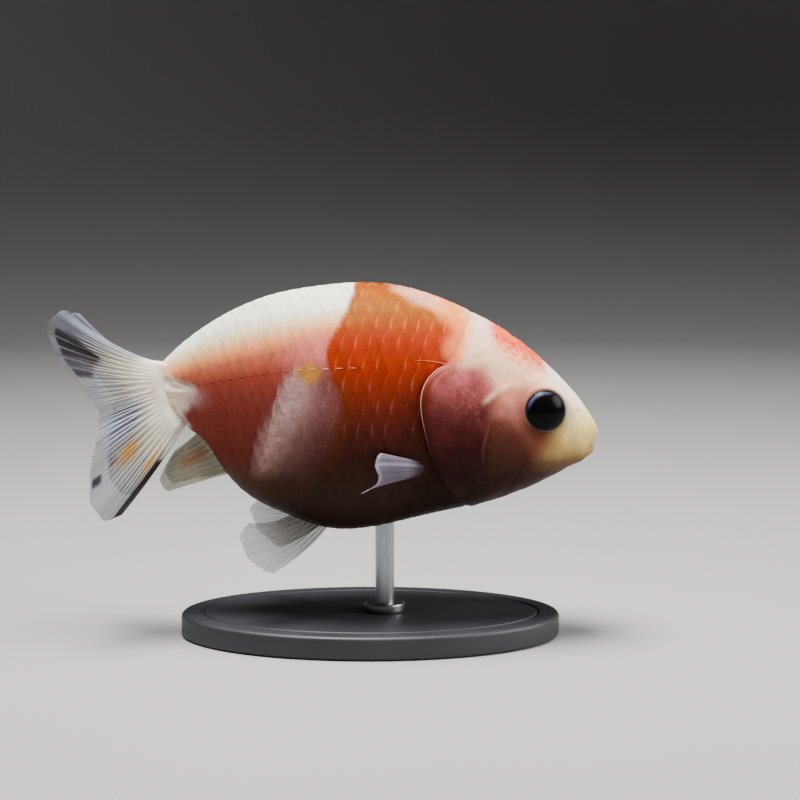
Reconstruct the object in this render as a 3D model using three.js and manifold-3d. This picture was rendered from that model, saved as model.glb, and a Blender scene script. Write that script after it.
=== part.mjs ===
// Life-size display model of a young ranchu goldfish: no back fin, an arched egg-shaped body, a double tail.
// Millimetres. +X is towards the snout, +Y the fish's left, +Z up.
// The origin is the centre of the stand's underside.

import * as THREE from 'three';
import { mergeVertices } from 'three/addons/utils/BufferGeometryUtils.js';
import Module from 'manifold-3d';

const wasm = await Module();
wasm.setup();

// ---------- Driving dimensions ----------

const GAP = 0.3;              // clearance between neighbouring solids
const BODY_STEPS = 28;        // sections along the body
const BODY_SIDES = 28;        // points round each section
const SNOUT_CROWDING = 1.15;  // above 1 the sections stand closer together at the snout

// Body sections from the snout to the tail root. Each has the point on the back and the point on the belly
// (x, z), the half-width, and how square the section is (2 is an ellipse).
const SECTIONS = [
  { back: [30.7, 27.3], belly: [30.7, 27.3], half: 0.0, square: 2.0 },
  { back: [30.3, 29.5], belly: [30.1, 25.0], half: 2.9, square: 2.1 },
  { back: [28.8, 32.3], belly: [28.2, 23.9], half: 4.8, square: 2.2 },
  { back: [25.7, 35.8], belly: [25.4, 22.5], half: 6.6, square: 2.3 },
  { back: [20.8, 40.2], belly: [20.8, 20.3], half: 8.7, square: 2.3 },
  { back: [14.8, 44.0], belly: [15.2, 18.5], half: 10.6, square: 2.25 },
  { back: [8.0, 47.0], belly: [8.4, 17.0], half: 12.0, square: 2.2 },
  { back: [0.6, 48.5], belly: [1.2, 15.3], half: 12.4, square: 2.15 },
  { back: [-6.6, 48.1], belly: [-5.4, 14.9], half: 11.7, square: 2.1 },
  { back: [-13.2, 46.9], belly: [-11.4, 16.8], half: 9.6, square: 2.05 },
  { back: [-18.8, 44.7], belly: [-16.6, 19.4], half: 7.1, square: 2.0 },
  { back: [-23.4, 41.9], belly: [-20.4, 23.6], half: 4.9, square: 2.0 },
  { back: [-26.5, 39.7], belly: [-22.9, 27.2], half: 3.5, square: 2.0 },
  { back: [-28.9, 37.7], belly: [-25.5, 28.7], half: 2.7, square: 2.0 },
];
const WIDEST = 0.48;          // height of the widest line, as a share of each section's height

// Head
// The cut between head and trunk: a point on it and its lean, in radians
const NECK = { x: 10.6, z: 30, lean: 0.1 };
const EYE = { x: 22.8, y: 5.45, z: 31.85, radius: 3.5 };
const NOSTRIL = { x: 28.0, y: 4.0, z: 31.4, radius: 0.55 };
const MOUTH = { x: 31.0, z: 26.9, corner: 26.4, half: 3.1, slope: 0.34 };
const UPPER_LIP = { x: 30.0, z: 27.9, length: 1.1, half: 2.7, height: 1.0 };
const LOWER_LIP = { x: 29.5, z: 25.9, length: 1.1, half: 2.3, height: 0.9 };

// Gill cover: an outline on the side of the head and the depth from the mid-plane at which the plate starts
const GILL_CENTRE = [12.6, 29.0];
const GILL_RIM = [
  [12.2, 38.5], [8.8, 37.6], [7.0, 34.6], [7.3, 30.2], [8.6, 25.6], [10.8, 21.4], [14.2, 18.0],
  [16.2, 20.6], [15.9, 26.2], [17.2, 31.0], [18.6, 34.8], [16.2, 37.8],
];
const GILL_INNER = 6.2;
const GILL_ROOM = 1.4;        // the outline slants across its radius, so the gap is widened by this factor

// Tail stalk: where it is parted from the trunk
const STALK = { x: -17.8, z: 32, lean: -0.22 };

// Fins of the fish's right side. Each key ray runs from its root through a bend to its tip.
const FIN = { rootThickness: 0.9, tipThickness: 0.5, across: 10, along: 7 };

const PECTORAL_RAYS = [
  { root: [7.4, -8.6, 25.0], bend: [4.6, -11.6, 27.6], tip: [1.6, -13.5, 27.1] },
  { root: [7.3, -8.6, 24.5], bend: [4.4, -12.4, 26.3], tip: [0.8, -14.2, 25.9] },
  { root: [7.1, -8.5, 24.0], bend: [4.0, -12.4, 24.8], tip: [0.6, -14.3, 24.0] },
  { root: [6.9, -8.4, 23.5], bend: [3.6, -11.8, 23.4], tip: [-0.2, -13.9, 22.4] },
  { root: [6.7, -8.3, 23.0], bend: [3.2, -10.9, 22.2], tip: [-1.4, -12.9, 21.2] },
];
const PELVIC_RAYS = [
  { root: [-4.6, -2.9, 17.0], bend: [-7.6, -5.8, 12.9], tip: [-12.8, -9.6, 10.3] },
  { root: [-5.8, -3.3, 17.3], bend: [-9.2, -6.6, 13.0], tip: [-14.9, -10.6, 11.3] },
  { root: [-7.0, -3.7, 17.6], bend: [-10.6, -7.2, 13.8], tip: [-16.5, -11.0, 13.3] },
  { root: [-8.2, -4.1, 18.0], bend: [-11.6, -7.4, 15.0], tip: [-17.2, -10.7, 15.4] },
  { root: [-9.2, -4.4, 18.4], bend: [-12.0, -7.4, 16.4], tip: [-16.2, -9.6, 17.2] },
];
const ANAL_RAYS = [
  { root: [-18.4, -0.9, 22.6], bend: [-22.6, -1.7, 21.7], tip: [-27.4, -3.6, 20.4] },
  { root: [-19.8, -0.9, 24.6], bend: [-23.6, -1.8, 22.9], tip: [-28.4, -3.8, 21.5] },
  { root: [-21.2, -0.9, 26.6], bend: [-24.6, -1.8, 24.4], tip: [-28.1, -3.4, 23.2] },
  { root: [-22.8, -0.9, 28.6], bend: [-25.2, -1.6, 26.4], tip: [-26.9, -2.6, 25.2] },
];
const UPPER_TAIL_RAYS = [
  { root: [-26.2, -0.9, 38.2], bend: [-33.4, -2.4, 38.7], tip: [-40.4, -5.6, 45.0] },
  { root: [-26.4, -1.2, 37.4], bend: [-34.6, -3.4, 38.8], tip: [-42.2, -6.2, 44.5] },
  { root: [-26.6, -1.4, 36.6], bend: [-35.0, -4.2, 38.0], tip: [-42.9, -6.8, 42.0] },
  { root: [-26.8, -1.6, 35.8], bend: [-34.7, -4.6, 36.8], tip: [-41.2, -7.3, 38.6] },
  { root: [-27.0, -1.7, 35.0], bend: [-33.9, -4.8, 35.2], tip: [-38.6, -7.6, 35.4] },
  { root: [-27.0, -1.8, 34.2], bend: [-32.8, -4.9, 33.2], tip: [-36.3, -7.7, 32.2] },
];
const LOWER_TAIL_RAYS = [
  { root: [-26.8, -1.8, 33.5], bend: [-32.2, -5.0, 32.2], tip: [-36.0, -7.9, 30.6] },
  { root: [-26.5, -1.8, 32.8], bend: [-32.0, -5.4, 30.2], tip: [-36.6, -8.9, 27.0] },
  { root: [-26.1, -1.8, 32.1], bend: [-31.6, -5.9, 28.2], tip: [-37.2, -9.9, 23.0] },
  { root: [-25.5, -1.7, 31.3], bend: [-30.8, -6.1, 26.4], tip: [-36.8, -10.6, 19.2] },
  { root: [-24.7, -1.6, 30.5], bend: [-29.6, -5.9, 25.0], tip: [-35.0, -10.7, 17.6] },
  { root: [-23.6, -1.4, 29.6], bend: [-28.0, -5.0, 24.2], tip: [-33.0, -9.9, 18.1] },
];

// Stand
const BASE = { length: 52, width: 34, height: 3.2, bevel: 0.6, sides: 24 };
const ROD = { radius: 1.3, x: 2.0, top: 17.4, sides: 16 };  // the top is 2 mm inside the belly

// ---------- Materials ----------

const paint = (color, roughness, metalness = 0) => (
  new THREE.MeshStandardMaterial({ color, roughness, metalness })
);

const headSkin = () => paint('#e0ab9b', 0.38);
const gillSkin = () => paint('#b77873', 0.32);
const bodySkin = () => paint('#de7a35', 0.36);
const stalkSkin = () => paint('#f2e4d6', 0.38);
const eyeGloss = () => paint('#0b0b12', 0.05);
const finWeb = () => paint('#d5d3cf', 0.4);
const standPaint = () => paint('#26272b', 0.6);
const rodSteel = () => paint('#b9bcc0', 0.3, 1);

// ---------- Solids ----------

function toSolid(geometry) {
  const bare = geometry.clone();
  bare.deleteAttribute('normal');
  bare.deleteAttribute('uv');
  const merged = mergeVertices(bare, 1e-4);
  return new wasm.Manifold(new wasm.Mesh({
    numProp: 3,
    vertProperties: new Float32Array(merged.attributes.position.array),
    triVerts: new Uint32Array(merged.index.array),
  }));
}

function toGeometry(solid) {
  const mesh = solid.getMesh();
  const geometry = new THREE.BufferGeometry();
  geometry.setAttribute('position', new THREE.BufferAttribute(new Float32Array(mesh.vertProperties), 3));
  geometry.setIndex(new THREE.BufferAttribute(new Uint32Array(mesh.triVerts), 1));
  geometry.computeVertexNormals();
  return geometry;
}

function solidFrom(points, triangles) {
  const geometry = new THREE.BufferGeometry();
  geometry.setAttribute('position', new THREE.Float32BufferAttribute(points.flat(), 3));
  geometry.setIndex(triangles.flat());
  return toSolid(geometry);
}

function ellipsoid([x, y, z], [rx, ry, rz], sides = 18) {
  const geometry = new THREE.SphereGeometry(1, sides, Math.round(sides * 0.6));
  geometry.scale(rx, ry, rz);
  geometry.translate(x, y, z);
  return toSolid(geometry);
}

// A large block whose front face passes through (x, z) and leans by an angle. It fills all towards the tail.
function blockBehind(x, z, lean) {
  const size = 200;
  const geometry = new THREE.BoxGeometry(size, size, size);
  geometry.translate(-size / 2, 0, 0);
  geometry.rotateY(lean);
  geometry.translate(x, 0, z);
  return toSolid(geometry);
}

// ---------- Smooth curves through key values ----------

function smooth(values, at) {
  const last = values.length - 1;
  const i = Math.min(Math.floor(at), last - 1);
  const f = at - i;
  const p1 = values[i];
  const p2 = values[i + 1];
  const p0 = i > 0 ? values[i - 1] : 2 * p1 - p2;
  const p3 = i + 2 <= last ? values[i + 2] : 2 * p2 - p1;
  const tangent = p2 - p0;
  const bend = 2 * p0 - 5 * p1 + 4 * p2 - p3;
  const twist = -p0 + 3 * p1 - 3 * p2 + p3;
  return p1 + 0.5 * f * (tangent + f * (bend + f * twist));
}

function smoothPoint(points, at) {
  return points[0].map((_, axis) => smooth(points.map((point) => point[axis]), at));
}

// ---------- Body ----------

// The snout is round: in front of the first section the curves run on into their own mirror image.
const [, SNOUT] = SECTIONS;
const KEYS = [{ back: SNOUT.belly, belly: SNOUT.back, half: -SNOUT.half, square: SNOUT.square }, ...SECTIONS];

function section(share) {
  const at = 1 + share * (SECTIONS.length - 1);
  return {
    back: smoothPoint(KEYS.map((key) => key.back), at),
    belly: smoothPoint(KEYS.map((key) => key.belly), at),
    half: smooth(KEYS.map((key) => key.half), at),
    square: smooth(KEYS.map((key) => key.square), at),
  };
}

function roundPower(value, square) {
  return Math.sign(value) * Math.abs(value) ** (2 / square);
}

function sectionPoint({ back, belly, half, square }, turn, grow) {
  const up = roundPower(Math.sin(turn), square);
  const out = roundPower(Math.cos(turn), square);
  const height = Math.hypot(back[0] - belly[0], back[1] - belly[1]) || 1;
  const share = WIDEST + up * (up > 0 ? 1 - WIDEST : WIDEST) + up * grow / height;
  const x = belly[0] + (back[0] - belly[0]) * share;
  const z = belly[1] + (back[1] - belly[1]) * share;
  return [x, (half + grow) * out, z];
}

// The whole body as one solid, its skin moved out by grow.
function bodySolid(grow = 0) {
  const points = [[SECTIONS[0].back[0] + grow, 0, SECTIONS[0].back[1]]];
  for (let i = 1; i <= BODY_STEPS; i++) {
    const share = (i / BODY_STEPS) ** SNOUT_CROWDING;
    const ring = section(share);
    for (let k = 0; k < BODY_SIDES; k++) {
      const point = sectionPoint(ring, 2 * Math.PI * k / BODY_SIDES, grow);
      point[0] -= grow * Math.max(0, 2 * share - 1);
      points.push(point);
    }
  }
  const end = section(1);
  points.push([(end.back[0] + end.belly[0]) / 2 - grow, 0, (end.back[1] + end.belly[1]) / 2]);
  const tailPoint = points.length - 1;
  const at = (i, k) => 1 + (i - 1) * BODY_SIDES + (k % BODY_SIDES);
  const triangles = [];
  for (let k = 0; k < BODY_SIDES; k++) {
    triangles.push([0, at(1, k), at(1, k + 1)]);
    for (let i = 1; i < BODY_STEPS; i++) {
      triangles.push([at(i, k), at(i + 1, k), at(i, k + 1)]);
      triangles.push([at(i, k + 1), at(i + 1, k), at(i + 1, k + 1)]);
    }
    triangles.push([at(BODY_STEPS, k), tailPoint, at(BODY_STEPS, k + 1)]);
  }
  return solidFrom(points, triangles);
}

// ---------- Gill covers, jaw and eyes ----------

// The gill cover's outline pushed through the side of the body, moved out by grow on every side.
function gillBlock(side, grow = 0) {
  const closed = [...GILL_RIM, ...GILL_RIM, ...GILL_RIM];
  const steps = 4 * GILL_RIM.length;
  const shape = new THREE.Shape();
  for (let i = 0; i < steps; i++) {
    const [x, z] = smoothPoint(closed, GILL_RIM.length + i / 4);
    const reach = Math.hypot(x - GILL_CENTRE[0], z - GILL_CENTRE[1]);
    const spread = 1 + GILL_ROOM * grow / reach;
    const u = GILL_CENTRE[0] + (x - GILL_CENTRE[0]) * spread;
    const v = GILL_CENTRE[1] + (z - GILL_CENTRE[1]) * spread;
    if (i === 0) shape.moveTo(u, v);
    else shape.lineTo(u, v);
  }
  const depth = 20;
  const geometry = new THREE.ExtrudeGeometry(shape, { depth, bevelEnabled: false });
  geometry.rotateX(Math.PI / 2);
  geometry.translate(0, side > 0 ? GILL_INNER - grow + depth : -GILL_INNER + grow, 0);
  return toSolid(geometry);
}

// The lower jaw is what lies under the mouth slit and in front of the corner of the mouth.
function jawBlock(grow = 0) {
  const size = 30;
  const geometry = new THREE.BoxGeometry(size, 2 * (MOUTH.half + grow), size);
  geometry.translate(-size / 2 + 5, 0, -size / 2 + grow);
  geometry.rotateY(-MOUTH.slope);
  geometry.translate(MOUTH.x, 0, MOUTH.z);
  return toSolid(geometry).subtract(blockBehind(MOUTH.corner - grow, MOUTH.z, -MOUTH.slope));
}

function eyeBall(side, grow = 0) {
  const radius = EYE.radius + grow;
  return ellipsoid([EYE.x, side * EYE.y, EYE.z], [radius, radius, radius]);
}

function nostril(side) {
  const { x, y, z, radius } = NOSTRIL;
  return ellipsoid([x, side * y, z], [radius, radius, radius], 10);
}

function lip({ x, z, length, half, height }) {
  return ellipsoid([x, 0, z], [length, half, height], 14);
}

// ---------- Fins ----------

function rayPoint({ root, bend, tip }, along) {
  const left = 1 - along;
  const weights = [left * left, 2 * left * along, along * along];
  return root.map((_, axis) => weights[0] * root[axis] + weights[1] * bend[axis] + weights[2] * tip[axis]);
}

function finPoint(rays, across, along) {
  return smoothPoint(rays.map((ray) => rayPoint(ray, along)), across * (rays.length - 1));
}

function finNormal(rays, across, along) {
  const step = 0.01;
  const a = Math.min(across, 1 - step);
  const b = Math.min(along, 1 - step);
  const here = new THREE.Vector3(...finPoint(rays, a, b));
  const side = new THREE.Vector3(...finPoint(rays, a + step, b)).sub(here);
  const out = new THREE.Vector3(...finPoint(rays, a, b + step)).sub(here);
  return side.cross(out).normalize();
}

function finSolid(rays) {
  const { across, along } = FIN;
  const row = along + 1;
  const sheet = (across + 1) * row;
  const points = [];
  for (const face of [1, -1]) {
    for (let i = 0; i <= across; i++) {
      for (let j = 0; j <= along; j++) {
        const thickness = THREE.MathUtils.lerp(FIN.rootThickness, FIN.tipThickness, j / along);
        const normal = finNormal(rays, i / across, j / along).multiplyScalar(face * thickness / 2);
        const point = new THREE.Vector3(...finPoint(rays, i / across, j / along)).add(normal);
        points.push(point.toArray());
      }
    }
  }
  const top = (i, j) => i * row + j;
  const under = (i, j) => sheet + top(i, j);
  const triangles = [];
  const quad = (a, b, c, d) => triangles.push([a, b, c], [a, c, d]);
  for (let i = 0; i < across; i++) {
    for (let j = 0; j < along; j++) {
      quad(top(i, j), top(i + 1, j), top(i + 1, j + 1), top(i, j + 1));
      quad(under(i, j), under(i, j + 1), under(i + 1, j + 1), under(i + 1, j));
    }
    quad(top(i, 0), under(i, 0), under(i + 1, 0), top(i + 1, 0));
    quad(top(i, along), top(i + 1, along), under(i + 1, along), under(i, along));
  }
  for (let j = 0; j < along; j++) {
    quad(top(0, j), top(0, j + 1), under(0, j + 1), under(0, j));
    quad(top(across, j), under(across, j), under(across, j + 1), top(across, j + 1));
  }
  return solidFrom(points, triangles);
}

// ---------- Stand ----------

function baseGeometry() {
  const { length, width, height, bevel, sides } = BASE;
  const shape = new THREE.Shape();
  shape.absellipse(0, 0, length / 2 - bevel, width / 2 - bevel, 0, 2 * Math.PI);
  const geometry = new THREE.ExtrudeGeometry(shape, {
    depth: height - 2 * bevel,
    bevelThickness: bevel,
    bevelSize: bevel,
    bevelSegments: 1,
    curveSegments: sides,
  });
  geometry.translate(0, 0, bevel);
  return geometry;
}

// The rod starts just above the base and ends inside a socket in the belly.
function rodSolid(grow = 0) {
  const bottom = BASE.height + GAP - grow;
  const top = ROD.top + grow;
  const geometry = new THREE.CylinderGeometry(ROD.radius + grow, ROD.radius + grow, top - bottom, ROD.sides);
  geometry.rotateX(Math.PI / 2);
  geometry.translate(ROD.x, 0, (top + bottom) / 2);
  return toSolid(geometry);
}

// ---------- The fish on its stand ----------

const goldfish = new THREE.Group();

function addMesh(name, geometry, material) {
  const mesh = new THREE.Mesh(geometry, material);
  mesh.name = name;
  goldfish.add(mesh);
}

// The left piece of a pair is the right one mirrored in the mid-plane, its triangles turned round to match.
function addPair(name, geometry, skin) {
  const mirrored = geometry.clone();
  mirrored.scale(1, -1, 1);
  const index = mirrored.index.array;
  for (let i = 0; i < index.length; i += 3) {
    [index[i], index[i + 1]] = [index[i + 1], index[i]];
  }
  mirrored.computeVertexNormals();
  addMesh(`${name}_right`, geometry, skin());
  addMesh(`${name}_left`, mirrored, skin());
}

const RIGHT = -1;
const SIDES = [RIGHT, 1];

const whole = bodySolid();
const behindNeck = (grow) => blockBehind(NECK.x + grow, NECK.z, NECK.lean);
const behindStalk = (grow) => blockBehind(STALK.x + grow, STALK.z, STALK.lean);

let head = whole.subtract(behindNeck(GAP / 2)).add(lip(UPPER_LIP)).add(lip(LOWER_LIP));
const lowerJaw = head.intersect(jawBlock());
head = head.subtract(jawBlock(GAP));
let trunk = whole.intersect(behindNeck(-GAP / 2)).subtract(behindStalk(GAP / 2)).subtract(rodSolid(GAP));
for (const side of SIDES) {
  head = head.subtract(gillBlock(side, GAP)).subtract(eyeBall(side, GAP)).subtract(nostril(side));
  trunk = trunk.subtract(gillBlock(side, GAP));
}
addMesh('head', toGeometry(head), headSkin());
addMesh('lower_jaw', toGeometry(lowerJaw), headSkin());
addMesh('trunk', toGeometry(trunk), bodySkin());
addMesh('tail_stalk', toGeometry(whole.intersect(behindStalk(-GAP / 2))), stalkSkin());
addPair('gill_cover', toGeometry(whole.intersect(gillBlock(RIGHT))), gillSkin);
addPair('eye', toGeometry(eyeBall(RIGHT)), eyeGloss);

const FINS = {
  pectoral_fin: PECTORAL_RAYS,
  pelvic_fin: PELVIC_RAYS,
  anal_fin: ANAL_RAYS,
  tail_fin_upper: UPPER_TAIL_RAYS,
  tail_fin_lower: LOWER_TAIL_RAYS,
};
const bodyRoom = bodySolid(GAP);
for (const [name, rays] of Object.entries(FINS)) {
  addPair(name, toGeometry(finSolid(rays).subtract(bodyRoom)), finWeb);
}

addMesh('stand_base', baseGeometry(), standPaint());
addMesh('stand_rod', toGeometry(rodSolid()), rodSteel());

export default goldfish;
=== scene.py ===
import math

import bmesh
import bpy
import numpy as np
from bpy.props import FloatProperty, FloatVectorProperty, IntProperty, PointerProperty
from bpy.types import Operator, Panel, PropertyGroup
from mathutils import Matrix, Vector


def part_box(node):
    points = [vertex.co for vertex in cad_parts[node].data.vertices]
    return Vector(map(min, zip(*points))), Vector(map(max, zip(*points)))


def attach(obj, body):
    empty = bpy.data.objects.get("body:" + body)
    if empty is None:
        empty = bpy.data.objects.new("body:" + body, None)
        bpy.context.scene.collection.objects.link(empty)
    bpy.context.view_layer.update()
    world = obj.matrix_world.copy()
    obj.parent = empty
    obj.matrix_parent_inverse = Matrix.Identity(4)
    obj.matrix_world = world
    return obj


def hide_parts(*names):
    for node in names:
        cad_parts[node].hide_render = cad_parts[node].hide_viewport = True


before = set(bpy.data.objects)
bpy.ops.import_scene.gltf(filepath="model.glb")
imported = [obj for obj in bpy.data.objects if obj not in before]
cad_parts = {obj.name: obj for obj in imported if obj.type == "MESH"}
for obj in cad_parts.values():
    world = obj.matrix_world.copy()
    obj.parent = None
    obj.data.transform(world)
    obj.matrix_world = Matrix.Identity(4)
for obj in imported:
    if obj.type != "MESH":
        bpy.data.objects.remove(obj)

bl_info = {
    "name": "Ranchu Goldfish on a Stand",
    "version": (1, 0, 0),
    "blender": (4, 5, 0),
    "location": "View3D > Sidebar > Goldfish",
    "description": "Models a life-size ranchu goldfish: skin, scales, fins, eyes, stand and stage",
    "category": "Object",
}

MM = 0.001    # the shapes below are worked out in millimetres
CLOSE = 1e-6  # metres within which two heights count as the same
ROUND_ANGLE, SCALE_ANGLE, FLAT_ANGLE = 60, 40, 25  # degrees at which an edge looks sharp
BODY_NAME = "root"
SIDES = {"right": -1, "left": 1}

# ---------- Driving dimensions, in millimetres ----------

# Sections of the skin from inside the mouth to the end of the tail stalk. Each has the point on the back
# and the point on the belly (x, z), the half-width, how square it is (2 is an ellipse), how far its sides
# lie behind its middle, and how far its sides hang.
SECTIONS = (
    ((28.6, 26.0), (28.6, 26.0), 0.0, 2.0, 0.0, 0.0),
    ((29.5, 26.55), (29.4, 26.3), 1.0, 2.0, 0.4, 0.3),
    ((30.3, 26.8), (30.1, 26.45), 1.5, 2.0, 0.8, 0.5),
    ((30.9, 27.2), (30.5, 26.25), 1.85, 2.0, 1.0, 0.55),
    ((31.1, 27.9), (30.55, 25.7), 2.2, 2.0, 1.15, 0.5),
    ((30.98, 28.6), (30.1, 25.05), 2.65, 2.05, 1.1, 0.35),
    ((30.82, 29.1), (29.65, 24.75), 3.05, 2.1, 0.95, 0.25),
    ((30.45, 29.8), (29.2, 24.4), 3.7, 2.15, 0.75, 0.15),
    ((28.8, 32.3), (28.2, 23.9), 4.9, 2.2, 0.3, 0.0),
    ((25.7, 35.8), (25.4, 22.5), 6.6, 2.3, 0.0, 0.0),
    ((20.8, 40.2), (20.8, 20.3), 8.7, 2.3, 0.0, 0.0),
    ((14.8, 44.0), (15.2, 18.5), 10.6, 2.25, 0.0, 0.0),
    ((8.0, 47.0), (8.4, 17.0), 12.0, 2.2, 0.0, 0.0),
    ((0.6, 48.5), (1.2, 15.3), 12.4, 2.15, 0.0, 0.0),
    ((-6.6, 48.1), (-5.4, 14.9), 11.7, 2.1, 0.0, 0.0),
    ((-13.2, 46.9), (-11.4, 16.8), 9.6, 2.05, 0.0, 0.0),
    ((-18.8, 44.7), (-16.6, 19.4), 7.1, 2.0, 0.0, 0.0),
    ((-23.4, 41.9), (-20.4, 23.6), 4.9, 2.0, 0.0, 0.0),
    ((-26.4, 39.5), (-22.9, 27.2), 3.5, 2.0, 0.0, 0.0),
    ((-28.4, 37.6), (-25.4, 28.8), 2.6, 2.0, 0.0, 0.0),
    ((-30.0, 36.3), (-27.6, 30.0), 1.7, 2.0, 0.0, 0.0),
    ((-31.2, 35.3), (-29.6, 31.2), 0.9, 2.0, 0.0, 0.0),
    ((-31.7, 33.4), (-31.7, 33.4), 0.0, 2.0, 0.0, 0.0),
)
WIDEST = 0.48           # height of the widest line, as a share of each section's height
FIRST_LIP, LAST_LIP, FIRST_SCALED, TAIL_ROOT = 1, 7, 11, 19  # section numbers

EYE = (23.1, 5.4, 31.8)
EYE_AXIS = (0.15, 0.98, 0.07)
NOSTRIL = (28.0, 4.0, 31.4)
NAPE_TOP = (38.0, 40.0)         # heights between which the front edge of the scales softens
ROOT_FAN = (-22.5, 33.6)        # place (x, z) from which the folds of the tail root fan out
ROOT_FOLDS = 19                 # how closely those folds follow each other, round that place

# Lines on the side of the fish, as (x, z) points
GILL_RIM = ((12.2, 38.6), (9.2, 37.9), (7.2, 35.6), (6.8, 33.4), (7.2, 30.4), (8.3, 26.2), (10.4, 21.6),
            (13.6, 18.4), (17.2, 16.4))
GILL_INNER_RIM = ((12.4, 38.0), (9.8, 37.2), (8.5, 35.6), (8.2, 33.8))
SHOULDER_FOLD = ((10.4, 38.45), (9.0, 38.75), (7.6, 38.95), (6.0, 39.05))
NAPE_EDGE = ((12.2, 31.0), (12.0, 35.0), (12.3, 38.8), (13.6, 41.6), (14.6, 44.0), (15.4, 46.0))
NAPE_RIDGE = ((11.8, 38.7), (14.2, 39.9), (16.4, 40.8), (18.4, 40.6))
PREOPERCLE = ((17.8, 33.3), (16.5, 31.6), (15.6, 29.2), (15.1, 26.4), (15.4, 23.6))
CHEEK_RIDGE = ((19.6, 35.5), (17.8, 35.0), (16.2, 34.0), (14.6, 32.6))
LATERAL_LINE = ((12.0, 37.6), (2.0, 37.8), (-9.0, 37.4), (-18.0, 36.0), (-29.0, 33.6))

# Edges of the markings
ORANGE_REAR = ((-1.6, 50.0), (-2.3, 47.4), (-4.1, 43.4), (-5.6, 39.8), (-5.0, 36.8), (-3.8, 34.4),
               (-3.6, 32.2), (-4.8, 28.6), (-5.8, 25.0), (-7.4, 22.0), (-9.0, 17.0))
ORANGE_FRONT = ((2.6, 50.5), (4.2, 48.6), (8.0, 46.5), (10.4, 44.5), (11.2, 42.4), (10.6, 40.4), (12.0, 38.5))
WHITE_EDGE = ((-32.0, 37.0), (-27.0, 38.7), (-22.6, 40.7), (-17.0, 43.0), (-10.5, 44.6), (-3.6, 45.7),
              (2.0, 46.0))
BRICK_EDGE = ((-32.0, 32.6), (-26.6, 35.0), (-21.8, 36.8), (-15.6, 38.5), (-10.0, 40.0), (-4.0, 41.5),
              (2.0, 42.0))
ROOT_EDGE = ((-31.0, 41.5), (-29.2, 38.7), (-28.4, 36.4), (-27.0, 35.1), (-24.2, 34.4), (-24.6, 32.6),
             (-25.4, 31.2), (-25.2, 29.2), (-24.4, 26.0), (-24.4, 20.0), (-24.4, 12.0))
PEARL_REAR = ((-8.4, 41.5), (-10.2, 38.6), (-11.6, 35.6), (-13.4, 31.8), (-15.2, 27.4), (-16.3, 23.4),
              (-17.0, 20.0))
PEARL_TOP = ((-16.0, 35.0), (-10.5, 38.0), (-5.0, 38.4), (0.0, 38.4))
SNOUT_EDGE = ((22.6, 18.0), (23.4, 25.6), (25.4, 28.6), (26.4, 31.6), (25.0, 34.6), (23.2, 38.0))
GILL_FRONT = ((13.6, 42.0), (14.6, 38.4), (15.9, 35.8), (16.3, 34.0), (15.8, 31.6), (15.2, 28.8),
              (14.9, 25.6), (15.4, 21.0), (16.0, 14.0))
CAP_EDGE = ((14.0, 43.4), (17.2, 39.4), (20.4, 37.0), (23.0, 35.8), (25.0, 35.4))
CROWN_EDGE = ((13.0, 44.6), (16.4, 42.6), (20.4, 40.4), (23.6, 38.0), (26.0, 35.6))

# Spots of colour, each as its centre (x, z) and how far it is drawn out along the fish
WRINKLED_SPOT = (13.4, 34.9, 1.25)
ROSE_SPOT = (20.0, 31.6, 1.1)
UNDER_EYE_SPOT = (23.0, 27.4, 1.6)
ROOT_SPOT = (-23.9, 33.2, 1.3)
GOLDEN_SPOT = (-7.9, 37.2, 1.2)
RUST_SPOT = (-12.0, 21.6, 2.0)

# Rays of the right side's fins: the root, the bend and the tip of each
PECTORAL_RAYS = (
    ((8.8, -10.2, 25.0), (4.2, -12.2, 26.4), (1.5, -13.6, 27.1)),
    ((8.7, -10.2, 24.7), (4.6, -12.8, 26.1), (0.9, -14.0, 26.4)),
    ((8.6, -10.1, 24.4), (4.6, -13.0, 25.2), (0.9, -14.2, 25.1)),
    ((8.4, -10.0, 24.1), (4.6, -12.9, 24.3), (1.2, -13.9, 23.7)),
    ((8.2, -9.9, 23.8), (4.2, -12.4, 23.8), (0.4, -13.2, 22.5)),
    ((8.0, -9.8, 23.5), (3.0, -12.2, 23.6), (-1.2, -13.6, 21.7)),
)
PELVIC_RAYS = (
    ((-4.6, -2.9, 17.0), (-7.6, -5.8, 12.9), (-12.8, -9.6, 10.3)),
    ((-5.8, -3.3, 17.3), (-9.2, -6.6, 13.0), (-14.9, -10.6, 11.3)),
    ((-7.0, -3.7, 17.6), (-10.6, -7.2, 13.8), (-16.5, -11.0, 13.3)),
    ((-8.2, -4.1, 18.0), (-11.6, -7.4, 15.0), (-17.2, -10.7, 15.4)),
    ((-9.2, -4.4, 18.4), (-12.0, -7.4, 16.4), (-16.2, -9.6, 17.2)),
)
ANAL_RAYS = (
    ((-18.4, -0.9, 22.6), (-22.6, -1.7, 21.7), (-27.4, -3.6, 20.4)),
    ((-19.8, -0.9, 24.6), (-23.6, -1.8, 22.9), (-28.4, -3.8, 21.5)),
    ((-21.2, -0.9, 26.6), (-24.6, -1.8, 24.4), (-28.1, -3.4, 23.2)),
    ((-22.8, -0.9, 28.6), (-25.2, -1.6, 26.4), (-26.9, -2.6, 25.2)),
)
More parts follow.
